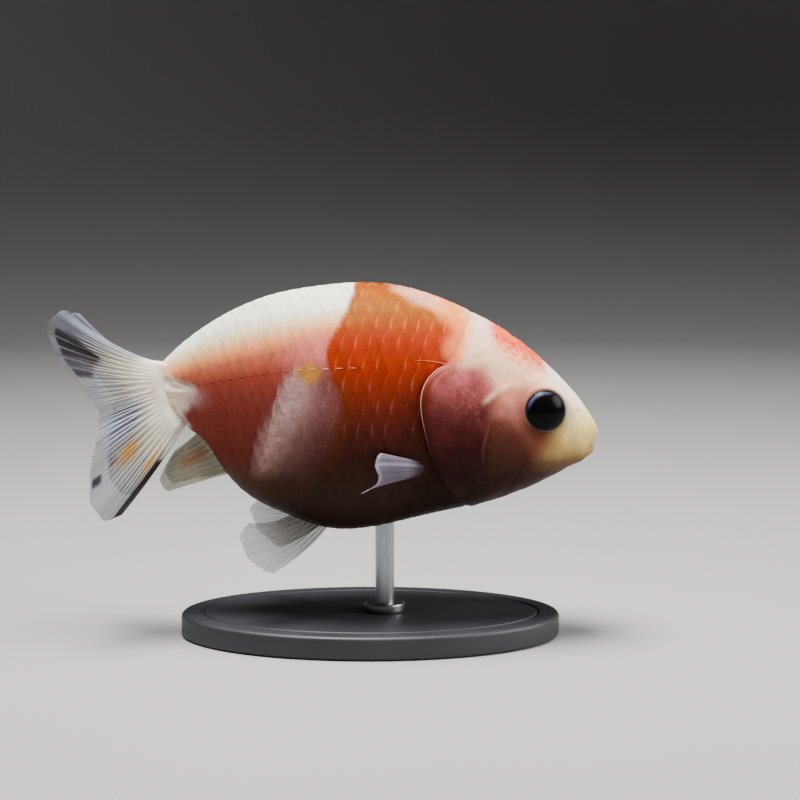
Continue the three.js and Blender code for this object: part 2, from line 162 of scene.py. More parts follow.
TAIL_RAYS = (
    ((-26.2, -0.9, 37.2), (-33.4, -2.4, 38.4), (-40.3, -5.6, 45.2)),
    ((-26.4, -1.2, 36.7), (-34.6, -3.4, 38.5), (-42.2, -6.2, 44.6)),
    ((-26.6, -1.4, 36.1), (-35.0, -4.2, 37.8), (-42.9, -6.8, 42.0)),
    ((-26.8, -1.6, 35.5), (-34.7, -4.6, 36.7), (-41.2, -7.3, 38.6)),
    ((-27.0, -1.7, 35.0), (-33.9, -4.8, 35.2), (-38.6, -7.6, 35.4)),
    ((-27.0, -1.8, 34.2), (-32.8, -4.9, 33.2), (-36.3, -7.7, 32.2)),
    ((-26.8, -1.8, 33.5), (-32.2, -5.0, 32.2), (-36.0, -7.9, 30.6)),
    ((-26.5, -1.8, 32.8), (-32.0, -5.4, 30.2), (-36.6, -8.9, 27.0)),
    ((-26.1, -1.8, 32.1), (-31.6, -5.9, 28.2), (-37.2, -9.9, 23.0)),
    ((-25.5, -1.6, 31.6), (-30.8, -6.1, 26.4), (-36.8, -10.6, 19.2)),
    ((-24.9, -1.4, 31.1), (-29.4, -5.7, 25.1), (-35.0, -10.7, 17.6)),
    ((-24.2, -1.1, 30.6), (-27.7, -4.8, 24.6), (-33.0, -9.9, 18.1)),
)

# ---------- Sizes and colours that a user can change ----------


def paint(code):
    """The scene-linear colour of a paint code such as "#E9682A"."""
    parts = [int(code[i:i + 2], 16) / 255 for i in (1, 3, 5)]
    return tuple(p / 12.92 if p <= 0.04045 else ((p + 0.055) / 1.055) ** 2.4 for p in parts)


def colour(name, description, code):
    return FloatVectorProperty(name=name, description=description, default=paint(code), min=0, max=1,
                               subtype="COLOR", size=3)


def number(name, description, value, **kind):
    return FloatProperty(name=name, description=description, default=value, **kind)


def length(name, description, millimetres):
    return number(name, description, millimetres * MM, min=0, unit="LENGTH", precision=5)


def share(name, description, value):
    return number(name, description, value, min=0, max=1, subtype="FACTOR")


def count(name, description, value, least=1):
    return IntProperty(name=name, description=description, default=value, min=least)


class GoldfishColours(PropertyGroup):
    white: colour("White back", "Back and tail root", "#FFFBEA")
    cream: colour("Cream", "Lower edge of the white back", "#FCE0B2")
    salmon: colour("Salmon", "Band under the white back", "#FA9C60")
    ember: colour("Ember", "Lower edge of the salmon band", "#C2644A")
    brick: colour("Brick", "Rear flank", "#A24434")
    # Deep brick is darker brick for the lower rear flank, partly painted shade; it also paints shade in the
    # creases of the wrinkled gill cover.
    brick_deep: colour("Deep brick", "Lower rear flank", "#85392F")
    yellow: colour("Yellow orange", "Top of the shoulder patch", "#9A5008")
    orange: colour("Orange", "Middle of the shoulder patch", "#A42C06")
    rust: colour("Rust", "Lower shoulder patch", "#8A301C")
    peach: colour("Peach", "Glints and soft edges of the orange", "#FA9464")
    silver: colour("Silver", "Bright part of the pearly patch", "#E8B6B0")
    mauve: colour("Mauve", "Pinkish part of the pearly patch", "#9A605C")
    lilac: colour("Lilac", "Pink above the pearly patch", "#E8766E")
    nape: colour("Nape", "Pale nape", "#FAD6AE")
    cap: colour("Cap", "Red crown of the head", "#C83A1C")
    snout: colour("Snout", "Lips and snout", "#FAE694")
    jaw: colour("Jaw", "Underside of the snout", "#907853")
    rose: colour("Rose", "Skin behind the eye", "#C4766A")
    cheek: colour("Cheek", "Under and behind the eye", "#74402F")
    gill: colour("Gill cover", "Upper gill cover", "#BE6466")
    # Deep gill cover is a darker copy of the gill cover for its lower part, partly painted shade.
    gill_deep: colour("Deep gill cover", "Lower gill cover", "#5D2726")
    # Dusk is partly the belly's own dark colour and partly painted shade, at the bottom of the flank, head
    # and gill cover.
    dusk: colour("Dusk", "Belly and throat", "#3A2A22")


class GoldfishSkin(PropertyGroup):
    rings: count("Rings", "Rings of faces from the mouth to the tail", 330, 60)
    sides: count("Sides", "Faces round each ring", 280, 32)
    coat_depth: length("Coat depth", "How far the skin lies under the scales", 0.18)
    gill_lift: length("Gill lift", "Height of the gill cover's free edge over the shoulder", 0.34)


class GoldfishScales(PropertyGroup):
    pitch: length("Pitch", "Distance between scales along a row, at the shoulder", 1.87)
    row: length("Row spacing", "Distance between rows, at the shoulder", 2.9)
    lift: length("Lift", "Height of a scale's rear edge over the next scale", 0.052)
    wander: share("Wander", "How unevenly the scales lie", 0.22)


class GoldfishEyes(PropertyGroup):
    radius: length("Radius", "Radius of the eyeball", 3.5)
    opening: length("Opening", "Radius of the part that shows", 2.74)
    pupil: length("Pupil", "Radius of the pupil", 2.42)
    black: colour("Pupil colour", "Colour of the pupil", "#0A0809")
    iris: colour("Iris", "Thin ring round the pupil", "#2A282E")
    # The sheen is painted: a violet reflection drawn along the top of the pupil.
    sheen: colour("Sheen", "Violet gloss along the top of the eye", "#5A5678")


class GoldfishFins(PropertyGroup):
    web: colour("Web", "Thin web between the rays", "#6C6C76")
    ray: colour("Rays", "Bony rays", "#FBF2D8")
    tip: colour("Ray tips", "Rays toward the fin's edge", "#A6A8B6")
    black: colour("Black", "Black patches on the tail", "#171214")
    orange: colour("Orange", "Orange patches on the tail", "#B9801C")
    thickness: length("Web thickness", "Thickness of the web", 0.07)
    ray_height: length("Ray height", "How far a ray stands out at its root", 0.15)


class GoldfishStand(PropertyGroup):
    base: colour("Base", "Satin paint of the base", "#2A2B2F")
    steel: colour("Rod", "Brushed steel of the rod", "#A9ABAF")
    bevel: length("Bevel", "Rounding of the base's edges", 0.6)
    groove: length("Groove", "Distance of the groove from the base's edge", 2.0)


class GoldfishStage(PropertyGroup):
    floor: colour("Floor", "Plain floor", "#A6A5A3")
    key_power: number("Key light", "Power of the overhead light", 2.0, unit="POWER")
    front_power: number("Front light", "Power of the light before the head", 1.0, unit="POWER")
    sky: number("Sky", "Strength of the light all round", 0.06)
    lens: number("Lens", "Focal length of the camera, in millimetres", 105.6)
    distance: length("Distance", "Distance of the camera from the fish", 320)
    elevation: number("Elevation", "Height of the camera's view over the horizon", math.radians(7),
                      subtype="ANGLE")


# ---------- Curves and soft edges ----------


def travelled(points):
    """The distance run along a row of points, at each of them."""
    steps = np.linalg.norm(np.diff(points, axis=0), axis=1)
    return np.concatenate(([0.0], np.cumsum(steps)))


class Line:
    """A natural cubic spline through points."""

    def __init__(self, points, at=None):
        self.points = np.array(points, float)
        self.at = travelled(self.points) if at is None else np.array(at, float)
        steps = np.diff(self.at)[:, None]
        slopes = np.diff(self.points, axis=0) / steps
        matrix = np.eye(len(self.at))
        for i in range(1, len(self.at) - 1):
            before, after = steps[i - 1, 0], steps[i, 0]
            matrix[i, i - 1:i + 2] = before, 2 * (before + after), after
        right = np.zeros_like(self.points)
        right[1:-1] = 6 * np.diff(slopes, axis=0)
        self.bend = np.linalg.solve(matrix, right)

    def __call__(self, place):
        place = np.asarray(place, float)
        i = np.clip(np.searchsorted(self.at, place, side="right") - 1, 0, len(self.at) - 2)
        width = (self.at[i + 1] - self.at[i])[..., None]
        after = (place - self.at[i])[..., None] / width
        before = 1 - after
        curved = (before ** 3 - before) * self.bend[i] + (after ** 3 - after) * self.bend[i + 1]
        return before * self.points[i] + after * self.points[i + 1] + curved * width ** 2 / 6

    def samples(self, marks):
        return self(np.linspace(0, self.at[-1], marks))


def soft(low, high, value):
    """0 below low, 1 above high, with a smooth rise between them."""
    part = np.clip((value - low) / (high - low), 0, 1)
    return part * part * (3 - 2 * part)


def bump(distance, width):
    """1 at no distance, falling away smoothly over a width on both sides."""
    return np.exp(-(distance / width) ** 2)


def from_spot(x, z, spot):
    """How far (x, z) lies from a spot's centre, on a scale drawn out along the fish."""
    return np.hypot((x - spot[0]) / spot[2], z - spot[1])


def from_line(points, x, z, samples=48):
    """How far (x, z) lies from a line, positive on the left of its run, and its nearest share of the run."""
    marks = Line(points).samples(samples)
    best = np.full(np.shape(x), np.inf)
    away = np.zeros(np.shape(x))
    run = np.zeros(np.shape(x))
    for i in range(samples - 1):
        step = marks[i + 1] - marks[i]
        dx, dz = x - marks[i, 0], z - marks[i, 1]
        part = np.clip((dx * step[0] + dz * step[1]) / (step @ step), 0, 1)
        gap = np.hypot(dx - part * step[0], dz - part * step[1])
        nearer = gap < best
        best = np.where(nearer, gap, best)
        away = np.where(nearer, gap * np.sign(step[0] * dz - step[1] * dx), away)
        run = np.where(nearer, (i + part) / (samples - 1), run)
    return away, run


def height_of(points, x):
    """The height z of a line that runs along the fish, at x."""
    marks = Line(points).samples(60)
    marks = marks[np.argsort(marks[:, 0])]
    return np.interp(x, marks[:, 0], marks[:, 1])


def ramp(value, *stops):
    """The colour at a value, blended between (value, colour) stops."""
    places = [place for place, _ in stops]
    colours = np.array([tint for _, tint in stops], float)
    return np.stack([np.interp(value, places, colours[:, i]) for i in range(3)], axis=-1)


def over(under, tint, mask):
    """A colour laid over others, as far as the mask says."""
    return under + (np.asarray(tint) - under) * np.asarray(mask)[..., None]


def wave_noise(points, size, seed):
    """Smooth noise from -1 to 1 with blobs of a size, made of crossing waves."""
    random = np.random.default_rng(seed)
    total = np.zeros(len(points))
    for _ in range(12):
        direction = random.normal(size=3)
        direction *= 2 * np.pi / (size * random.uniform(0.8, 1.6) * np.linalg.norm(direction))
        total += np.sin(points @ direction + random.uniform(0, 2 * np.pi))
    return np.clip(total / 3.5, -1, 1)


# ---------- The skin's shape ----------


def rounded(value, square):
    """A sine or cosine drawn out toward a square."""
    return np.sign(value) * np.abs(value) ** (2 / square)


class Body:
    """The body without its relief. A place on it is a station along it and a share of the way round it, which
    runs from the belly (0) up the left side to the back (0.5) and down the right side."""

    def __init__(self):
        keys = np.array([[*back, *belly, *rest] for back, belly, *rest in SECTIONS], float)
        travel = travelled(keys[:, :5] / math.sqrt(2))
        self.line = Line(keys, travel)
        self.stations = travel

    def rings(self, stations, sides):
        """Points on rings at the stations, evenly spaced round each ring."""
        fine = np.linspace(-0.5, 1.5, 721) * np.pi
        made = self.line(stations)
        back, belly = made[:, None, 0:2], made[:, None, 2:4]
        half, square, sweep, hang = (made[:, None, i] for i in range(4, 8))
        up = rounded(np.sin(fine)[None, :], square)
        out = rounded(np.cos(fine)[None, :], square)
        height = WIDEST + up * np.where(up > 0, 1 - WIDEST, WIDEST)
        middle = belly + (back - belly) * height[..., None]
        loops = np.stack([middle[..., 0] - sweep * out ** 2, np.maximum(half, 0) * out,
                          middle[..., 1] - hang * out ** 2], axis=-1)
        steps = np.linalg.norm(np.diff(loops, axis=1), axis=-1)
        run = np.concatenate([np.zeros((len(loops), 1)), np.cumsum(steps, axis=1)], axis=1)
        places = np.linspace(0, 1, sides, endpoint=False)
        points = np.empty((len(loops), sides, 3))
        for i, loop in enumerate(loops):
            for axis in range(3):
                points[i, :, axis] = np.interp(places * run[i, -1], run[i], loop[:, axis])
        self.girths = run[:, -1]
        return points


def normals_of(grid):
    """Outward normals of rings of points."""
    along = np.gradient(grid, axis=0)
    closed = np.concatenate([grid[:, -1:], grid, grid[:, :1]], axis=1)
    around = (closed[:, 2:] - closed[:, :-2]) / 2
    normal = np.cross(along, around)
    return normal / np.maximum(np.linalg.norm(normal, axis=-1, keepdims=True), 1e-9)


def side_view(points):
    """Points as seen from their own side: x, how far each lies to its side, and z."""
    return points[..., 0], np.abs(points[..., 1]), points[..., 2]


def behind_head(points):
    """How far places lie behind the edge of the gill cover and the nape."""
    x, _, z = side_view(points)
    rim, _ = from_line(GILL_RIM, x, z)
    nape, _ = from_line(NAPE_EDGE, x, z)
    return np.minimum(-rim, nape)


def scaled_part(points):
    """1 where scales cover the body, 0 on the head and the end of the tail stalk."""
    x, _, z = side_view(points)
    root, _ = from_line(ROOT_EDGE, x, z)
    return soft(0.0, 0.5 + 1.2 * soft(*NAPE_TOP, z), behind_head(points)) * soft(-0.9, 0.6, root)


def from_nostril(points):
    """How far points lie from the nostril on their own side."""
    return np.linalg.norm(np.stack(side_view(points), axis=-1) - np.array(NOSTRIL), axis=-1)


def root_angle(x, z):
    """The direction in which (x, z) lies from the middle of the folds on the tail root."""
    return np.arctan2(z - ROOT_FAN[1], x - ROOT_FAN[0])


def relief(points, skin):
    """How far the skin stands out from the plain body, in millimetres."""
    x, side, z = side_view(points)
    facing = soft(0.8, 3.5, side)
    total = np.zeros(x.shape)

    rim, run = from_line(GILL_RIM, x, z)
    strength = soft(0.0, 0.12, run) * (1 - 0.55 * soft(0.62, 1.0, run)) * facing
    lift = skin.gill_lift / MM
    total += strength * lift * soft(-0.12, 0.16, rim) * bump(np.maximum(rim, 0), 2.6)
    total -= strength * 0.16 * bump(rim + 0.42, 0.34)
    inner, inner_run = from_line(GILL_INNER_RIM, x, z)
    total += 0.07 * bump(inner, 0.2) * soft(0, 0.2, inner_run) * (1 - soft(0.8, 1, inner_run)) * facing

    plate, plate_run = from_line(PREOPERCLE, x, z)
    ends = soft(0, 0.1, plate_run) * (1 - soft(0.85, 1, plate_run))
    total -= 0.08 * bump(plate - 0.15, 0.3) * ends * facing
    swell = soft(-0.1, 0.5, plate) * bump(np.maximum(plate, 0), 2.2)
    total += 0.06 * swell * facing * soft(0.02, 0.2, plate_run)
    ridge, ridge_run = from_line(CHEEK_RIDGE, x, z)
    total += 0.2 * bump(ridge, 0.55) * soft(0, 0.2, ridge_run) * (1 - soft(0.8, 1, ridge_run)) * facing
    nape, nape_run = from_line(NAPE_RIDGE, x, z)
    total += 0.12 * bump(nape, 0.5) * soft(0.0, 0.3, nape_run) * (1 - soft(0.6, 1.0, nape_run))

    total += 0.05 * (0.35 - np.abs(wave_noise(points, 1.9, 5))) * wrinkled_part(points)

    nostril = from_nostril(points)
    total += 0.05 * bump(nostril - 0.45, 0.2) - 0.22 * bump(nostril, 0.24)

    fan = 0.1 * np.sin(root_angle(x, z) * ROOT_FOLDS + 0.6 * wave_noise(points, 3.0, 14))
    total += fan * soft(-24.5, -26.5, x) * soft(-31.4, -29.8, x)

    lumps = wave_noise(points, 1.3, 11) + 0.6 * wave_noise(points, 0.8, 12)
    total += 0.075 * lumps * cap_part(points)
    total += 0.03 * wave_noise(points, 2.2, 13) * soft(10, 16, x)
    return total


def wrinkled_part(points):
    """1 on the upper gill cover, which is finely wrinkled."""
    x, side, z = side_view(points)
    rim, _ = from_line(GILL_RIM, x, z)
    return bump(from_spot(x, z, WRINKLED_SPOT), 3.4) * soft(0.8, 3.5, side) * soft(0.5, 1.4, rim)


def cap_part(points):
    """1 on the red crown of the head."""
    x, _, z = side_view(points)
    return soft(-0.6, 2.0, z - height_of(CAP_EDGE, x)) * soft(15.2, 17.2, x) * (1 - soft(22.6, 24.8, x))


def eye_frame(sign):
    """The centre of one side's eye and the direction in which it looks."""
    centre = np.array(EYE) * (1, sign, 1)
    axis = np.array(EYE_AXIS) * (1, sign, 1)
    return centre, axis / np.linalg.norm(axis)


def seat_eyes(points, eyes):
    """Draws the skin to a round lid about each eyeball, and under the ball inside the lid."""
    radius, opening = eyes.radius / MM, eyes.opening / MM
    lid = math.sqrt(radius ** 2 - opening ** 2)
    for sign in SIDES.values():
        centre, axis = eye_frame(sign)
        offset = points - centre
        depth = offset @ axis
        away = np.linalg.norm(offset - depth[..., None] * axis, axis=-1)
        near = (depth > 0) * (1 - soft(opening + 0.1, opening + 2.6, away))
        sunk = 1.3 * (1 - soft(opening - 0.5, opening, away))
        wanted = lid + 0.14 * bump(away - opening - 0.3, 0.35) - sunk
        points = points + ((wanted - depth) * near)[..., None] * axis
    return points


def skin_stations(body, rings):
    """Stations of the skin's rings: closest at the lips, close on the head, wide under the scales."""
    at = body.stations
    lips, head, tail = at[LAST_LIP], at[FIRST_SCALED + 1], at[TAIL_ROOT - 1]
    fine = np.linspace(0, at[-1], 2000)
    spacing = np.interp(fine, [0, lips, lips + 2, head, head + 3, tail, tail + 3, at[-1]],
                        [0.09, 0.11, 0.19, 0.2, 0.4, 0.4, 0.2, 0.12])
    run = np.concatenate(([0.0], np.cumsum(np.diff(fine) / spacing[1:])))
    return np.interp(np.linspace(0, run[-1], rings + 2)[1:-1], run, fine)


def ring_faces(rings, sides, first):
    """Quads between rings of points, with faces outwards."""
    i, k = np.meshgrid(np.arange(rings - 1), np.arange(sides), indexing="ij")
    here = first + i * sides + k
    beside = first + i * sides + (k + 1) % sides
    return np.stack([here, here + sides, beside + sides, beside], axis=-1).reshape(-1, 4)


# ---------- Markings ----------


class Markings:
    """The fish's colours, on the skin and the scales alike. Sharp edges of the markings partly follow the
    place where each scale grows, and soft changes of tone follow the place itself. Part of the darkening
    toward the belly is painted shade from the light above, and the scales' glints are painted highlights."""

    def __init__(self, colours):
        self.c = {name: np.array(getattr(colours, name)) for name in GoldfishColours.__annotations__}

    def shifted(self, points):
        """The left side carries the same markings with edges of their own."""
        x, z = points[:, 0], points[:, 2]
        left = soft(0, 6, points[:, 1])
        return x - left * (1.3 * np.sin(z / 3.3 + 1) - 0.9), z

    def flank(self, x, z):
        c = self.c
        white, brick = height_of(WHITE_EDGE, x), height_of(BRICK_EDGE, x)
        band = (z - brick) / (white - brick)
        # Below the brick band the colour darkens toward the belly, partly the belly's own colour and partly
        # painted shade from the light above.
        deep = c["brick_deep"]
        return ramp(band, (-4.4, c["dusk"] * 0.8), (-3.4, c["dusk"] * 1.5), (-2.6, deep * (0.66, 0.66, 0.5)),
                    (-1.9, deep * 0.9), (-1.0, deep * 1.1), (-0.4, c["brick"] * 0.86), (0.08, c["ember"]),
                    (0.42, c["salmon"]), (0.8, c["cream"] * (1, 0.95, 0.9)), (1.08, c["white"]))

    def pearl(self, base, x, z):
        c = self.c
        rear, _ = from_line(PEARL_REAR, x, z)
        front, _ = from_line(ORANGE_REAR, x, z)
        across = np.clip(rear / np.maximum(rear - np.minimum(front, 0), 0.01), 0, 1)
        silver, mauve = c["silver"], c["mauve"]
        tone = ramp(across, (0.0, mauve * 0.9), (0.08, mauve * 0.4 + silver * 0.5), (0.18, silver),
                    (0.32, silver * 0.8), (0.52, silver * 0.2 + mauve * 0.7), (0.75, mauve * 0.75),
                    (1.0, mauve * 0.35 + c["rust"] * 0.35))
        upper = height_of(PEARL_TOP, x)
        patch = soft(-0.4, 0.4, rear) * (1 - soft(-2.4, 0.6, z - upper)) * soft(21.0, 24.6, z)
        # fade is painted shade: the pearly patch darkens toward the belly, as if the light came from above.
        fade = ramp(z, (21, (0.2, 0.15, 0.15)), (25, (0.38, 0.36, 0.34)), (29, (0.7, 0.68, 0.66)),
                    (33, (1.05, 1.06, 1.08)))
        blush = soft(-16.5, -6.5, x) * bump(z - 40.0, 2.4) * soft(-1.5, 2.0, rear + 2)
        base = over(base, c["lilac"] * (0.97, 1.12, 1.1), 0.8 * blush)
        base = base + (tone * fade - base) * patch[:, None]
        return base, patch * (bump(across - 0.2, 0.25) + 0.15)

    def orange(self, base, x, own_x, z, own):
        c = self.c
        rear, _ = from_line(ORANGE_REAR, x, z)
        front, _ = from_line(ORANGE_FRONT, own_x, z)
        own_rear, _ = from_line(ORANGE_REAR, own_x, z)
        blotch = 0.35 * wave_noise(own, 3.6, 21)
        ahead = np.where(z < 38.5, 1.0, soft(-1.3, 1.7, blotch - front))
        low = soft(37.0, 34.0, z)
        rear = rear + (own_rear - rear) * 0.6 * low
        patch = soft(-0.28 - 0.4 * low, 0.28 + 0.4 * low, rear) * ahead
        rust, orange, yellow = c["rust"], c["orange"], c["yellow"]
        # The patch darkens toward the belly, partly painted shade from the light above, and toward its lower
        # front.
        tone = ramp(z, (17, c["dusk"] * 0.55), (20.5, c["dusk"] * 0.85), (23, rust * (0.15, 0.5, 0.8)),
                    (26, rust * (0.21, 0.5, 0.8)), (30, rust * (0.42, 0.6, 0.8)), (33, rust * 0.8),
                    (36, rust * 0.5 + orange * 0.42), (38.5, orange * 0.92), (41.5, orange),
                    (43.6, orange * 0.5 + yellow * 0.5), (45.4, yellow), (47.6, yellow * (1, 0.9, 1)),
                    (48.4, yellow * (0.85, 0.6, 1)))
        olive = bump(own_rear - 0.4, 1.0) * soft(39.0, 36.5, z) * soft(22, 30, z)
        tone = over(tone, yellow * (0.5, 0.5, 1), 0.45 * olive)
        mottle = soft(0.1, 0.9, wave_noise(own, 2.0, 22)) * soft(42, 45.0, z)
        tone = over(tone, yellow * (1.25, 1.6, 2), 0.35 * mottle)
        tone = tone * (1 - 0.5 * soft(1.5, 9.0, own_x) * soft(38.0, 33.0, z))[:, None]
        return base + (tone - base) * patch[:, None], patch

    def head(self, x, z):
        c = self.c
        # Head colours darken toward the throat, partly painted shade from the light above; the lilac-blue at
        # the top is a painted sheen.
        base = ramp(z, (16, c["dusk"] * 0.5), (20, c["dusk"] * 0.7), (23, c["cheek"] * (0.17, 0.17, 0.24)),
                    (26, c["cheek"] * (0.34, 0.34, 0.4)), (29, c["cheek"] * (0.6, 0.55, 0.58)),
                    (30.6, c["cheek"] * (0.95, 0.86, 0.9)), (32.3, c["rose"] * 0.95),
                    (34.0, c["peach"] * (1, 1.0, 1.5)), (36.2, c["nape"] * (1, 0.8, 0.75)),
                    (40, c["nape"] * (1, 0.84, 0.86)), (44, c["nape"] * (0.96, 1.0, 1.45)))
        forward, _ = from_line(SNOUT_EDGE, x, z)
        # The snout and jaw also darken downward, partly painted shade.
        pale = ramp(z, (21, c["dusk"] * 0.7), (23, c["jaw"] * (0.15, 0.1, 0.11)),
                    (24.8, c["jaw"] * (0.58, 0.46, 0.42)), (26.5, c["snout"] * (0.58, 0.46, 0.42)),
                    (28.5, c["snout"] * (0.92, 0.82, 0.72)), (30, c["snout"]),
                    (32.5, c["snout"] * (1, 1.1, 2.0)), (36, c["white"] * (1, 0.92, 0.92)))
        base = base + (pale - base) * soft(-2.2, 1.8, -forward)[:, None]
        base = over(base, c["rose"] * 0.9, 0.5 * bump(from_spot(x, z, ROSE_SPOT), 1.6))
        under_eye = bump(from_spot(x, z, UNDER_EYE_SPOT), 1.4)
        return over(base, c["cheek"] * (1.7, 1.6, 1.4), 0.5 * under_eye)

    def gill_cover(self, base, x, side, z):
        c = self.c
        rim, _ = from_line(GILL_RIM, x, z)
        front, _ = from_line(GILL_FRONT, x, z)
        # The gill cover darkens toward the throat, partly painted shade from the light above.
        tone = ramp(z, (16, c["dusk"] * 0.4), (21, c["dusk"] * 0.5), (24, c["gill_deep"] * (0.18, 0.2, 0.2)),
                    (27, c["gill_deep"] * 0.32), (29.6, c["gill_deep"] * (0.72, 0.62, 0.6)),
                    (31.8, c["gill"] * (0.22, 0.16, 0.15)), (34.2, c["gill"] * (0.56, 0.47, 0.44)),
                    (36.6, c["gill"] * (0.9, 0.78, 0.78)), (39.0, c["gill"] * 0.7 + c["peach"] * 0.2))
        tone = tone * (1 + 0.22 * wave_noise(np.stack([x, side, z], axis=-1), 2.6, 34))[:, None]
        inner, inner_run = from_line(GILL_INNER_RIM, x, z)
        tone = over(tone, c["gill_deep"], 0.45 * bump(rim - 0.55, 0.4) * soft(30.0, 33.0, z))
        tone = over(tone, c["peach"] * (0.9, 0.8, 1.0), 0.4 * bump(inner, 0.22) * soft(1.0, 0.6, inner_run))
        above = 1 - soft(0.0, 1.6, 38.6 + 0.23 * (x - 12.2) - z)
        cover = soft(-0.4, -0.1, rim) * soft(-1.7, 0.9, -front) * (1 - soft(11.0, 13.0, x) * above)
        base = base + (tone - base) * cover[:, None]
        # Painted highlight: a pale band along the cheek ridge, where the light from above falls.
        ridge, run = from_line(CHEEK_RIDGE, x, z)
        base = over(base, c["nape"] * (0.95, 0.85, 0.8), 0.65 * bump(ridge + 0.1, 0.4) * soft(0, 0.25, run)
                    * (1 - soft(0.7, 1.0, run)))
        plate, plate_run = from_line(PREOPERCLE, x, z)
        base = over(base, c["rose"] * 0.8, 0.2 * bump(plate, 0.16) * (1 - soft(0.5, 1, plate_run)))
        nape, nape_run = from_line(NAPE_RIDGE, x, z)
        return over(base, c["nape"] * (1, 1.05, 1.0), 0.5 * bump(nape, 0.4) * (1 - soft(0.6, 1, nape_run)))

    def cap(self, base, own):
        part = cap_part(own)
        x, _, z = side_view(own)
        full = soft(-2.4, -0.3, z - height_of(CROWN_EDGE, x))
        red = over(self.c["peach"] * (1, 0.72, 0.6), self.c["cap"] * (1.45, 2.4, 2.8), full)
        return over(base, red, part * (0.55 + 0.4 * full)), part * (0.6 + 0.4 * full)

    def __call__(self, own, root=None):
        """Colours, painted glints, shine and speckle at the places own, whose scales grow at the places root.
        """
        root = own if root is None else root
        x, z = self.shifted(root)
        ox, oz = self.shifted(own)
        edge_x = ox + (x - ox) * np.interp(oz, (36, 40, 44), (0.6, 0.3, 0.12))
        base = self.flank(ox, 0.04 * z + 0.96 * oz)
        base, shine = self.pearl(base, 0.5 * (x + ox), oz)
        base = self.tail_root(base, ox, oz, own)
        base = self.spots(base, 0.3 * x + 0.7 * ox, ox, oz)
        base, orange = self.orange(base, edge_x, ox, oz, own)
        base = self.shoulder(base, orange, ox, oz)
        behind = behind_head(own)
        hx, side, hz = side_view(own)
        head, speckle = self.cap(self.gill_cover(self.head(hx, hz), hx, side, hz), own)
        wide = 0.2 + 1.2 * soft(38.2, 40.0, hz)
        on_head = soft(-1, 1, -behind / wide) * soft(7, 9, hx)
        base = base + (head - base) * on_head[:, None]
        base = base * (1 + 0.05 * wave_noise(own, 1.7, 31))[:, None]
        glint = self.glints(base, shine, orange, on_head, oz)
        return np.clip(base, 0, 1), np.clip(glint, 0, 1), shine * (1 - on_head), speckle

    def tail_root(self, base, x, z, own):
        """Lays the white flesh of the tail root over the flank, with its rosy folds."""
        c = self.c
        root_edge, _ = from_line(ROOT_EDGE, x, z)
        flesh = soft(-1.2, 0.6, 0.35 * wave_noise(own, 1.7, 33) - root_edge)
        base = over(base, c["white"] * (1, 0.96, 0.93), flesh)
        folds = np.sin(root_angle(x, z) * ROOT_FOLDS + 2.0 * wave_noise(own, 2.5, 35))
        rosy = 0.22 * flesh * (0.6 + 0.4 * folds) * bump(z - 33.0, 4.0)
        base = over(base, c["lilac"] * (1, 1.3, 1.3), rosy)
        patch = bump(from_spot(x, z, ROOT_SPOT), 1.25)
        return over(base, c["lilac"] * (0.85, 1.9, 2.2), 0.8 * patch * (1 - 0.6 * flesh))

    def spots(self, base, edge_x, x, z):
        """The golden spot over the pearly patch, the rust under it and the dark belly, partly its own colour
        and partly painted shade.
        """
        c = self.c
        golden = soft(1.9, 0.7, from_spot(edge_x, z, GOLDEN_SPOT))
        base = over(base, c["yellow"] * (1.75, 2.9, 12), 0.92 * golden)
        base = over(base, c["rust"] * (0.2, 0.5, 0.5), 0.8 * bump(from_spot(x, z, RUST_SPOT), 1.8))
        return over(base, c["dusk"] * 0.75, 0.85 * soft(22, 17.5, z) * soft(-16, -9, x))

    def shoulder(self, base, orange, x, z):
        """Lays the pale shoulder over what is ahead of the orange patch."""
        c = self.c
        front, _ = from_line(ORANGE_FRONT, x, z)
        collar = soft(38.0, 39.5, z) * (1 - orange) * soft(-2.4, -1.2, front)
        warm = soft(41.5, 44.5, z)[:, None]
        low = ramp(front, (-1.0, c["peach"] * (0.9, 0.6, 0.2)), (1.2, c["peach"] * (1, 0.85, 0.5)),
                   (3.4, c["nape"] * (1, 0.82, 0.78)), (5.4, c["nape"] * (0.97, 0.93, 1.1)))
        # The lilac-blue at the top of the high ramp is a painted sheen along the top edge.
        high = ramp(front, (-1.0, c["peach"] * (0.95, 0.65, 0.1)), (1.4, c["peach"] * (1, 0.95, 0.45)),
                    (3.2, c["nape"] * (0.97, 0.84, 0.85)), (5.2, c["nape"] * (0.93, 0.93, 1.4)))
        pale = low + (high - low) * warm
        return base + (pale - base) * collar[:, None]

    def glints(self, base, shine, orange, on_head, z):
        """The colour of the scales' rear edges: a painted highlight, lighter and stronger higher up the body
        where the light from above falls, with a painted silver reflection on the pearly patch.
        """
        c = self.c
        bright = np.clip(shine, 0, 1)
        # Painted highlight: brighter toward the top of the body, where the light from above falls.
        strength = orange * (0.02 + 0.8 * soft(34.5, 40, z)) + 0.8 * bright + 0.05
        level = ramp(z, (24, (0.06, 0.05, 0.04)), (32, (0.34, 0.2, 0.14)), (38, (0.85, 0.55, 0.35)),
                     (46, (0.95, 0.85, 0.3)))
        warm = np.clip(0.6 * strength * (1 - on_head), 0, 1)
        glint = base + (c["peach"] * level - base) * warm[:, None]
        return over(glint, c["silver"] * (1.1, 1.15, 1.15), 0.7 * bright * soft(24, 32, z))


# ---------- Meshes ----------


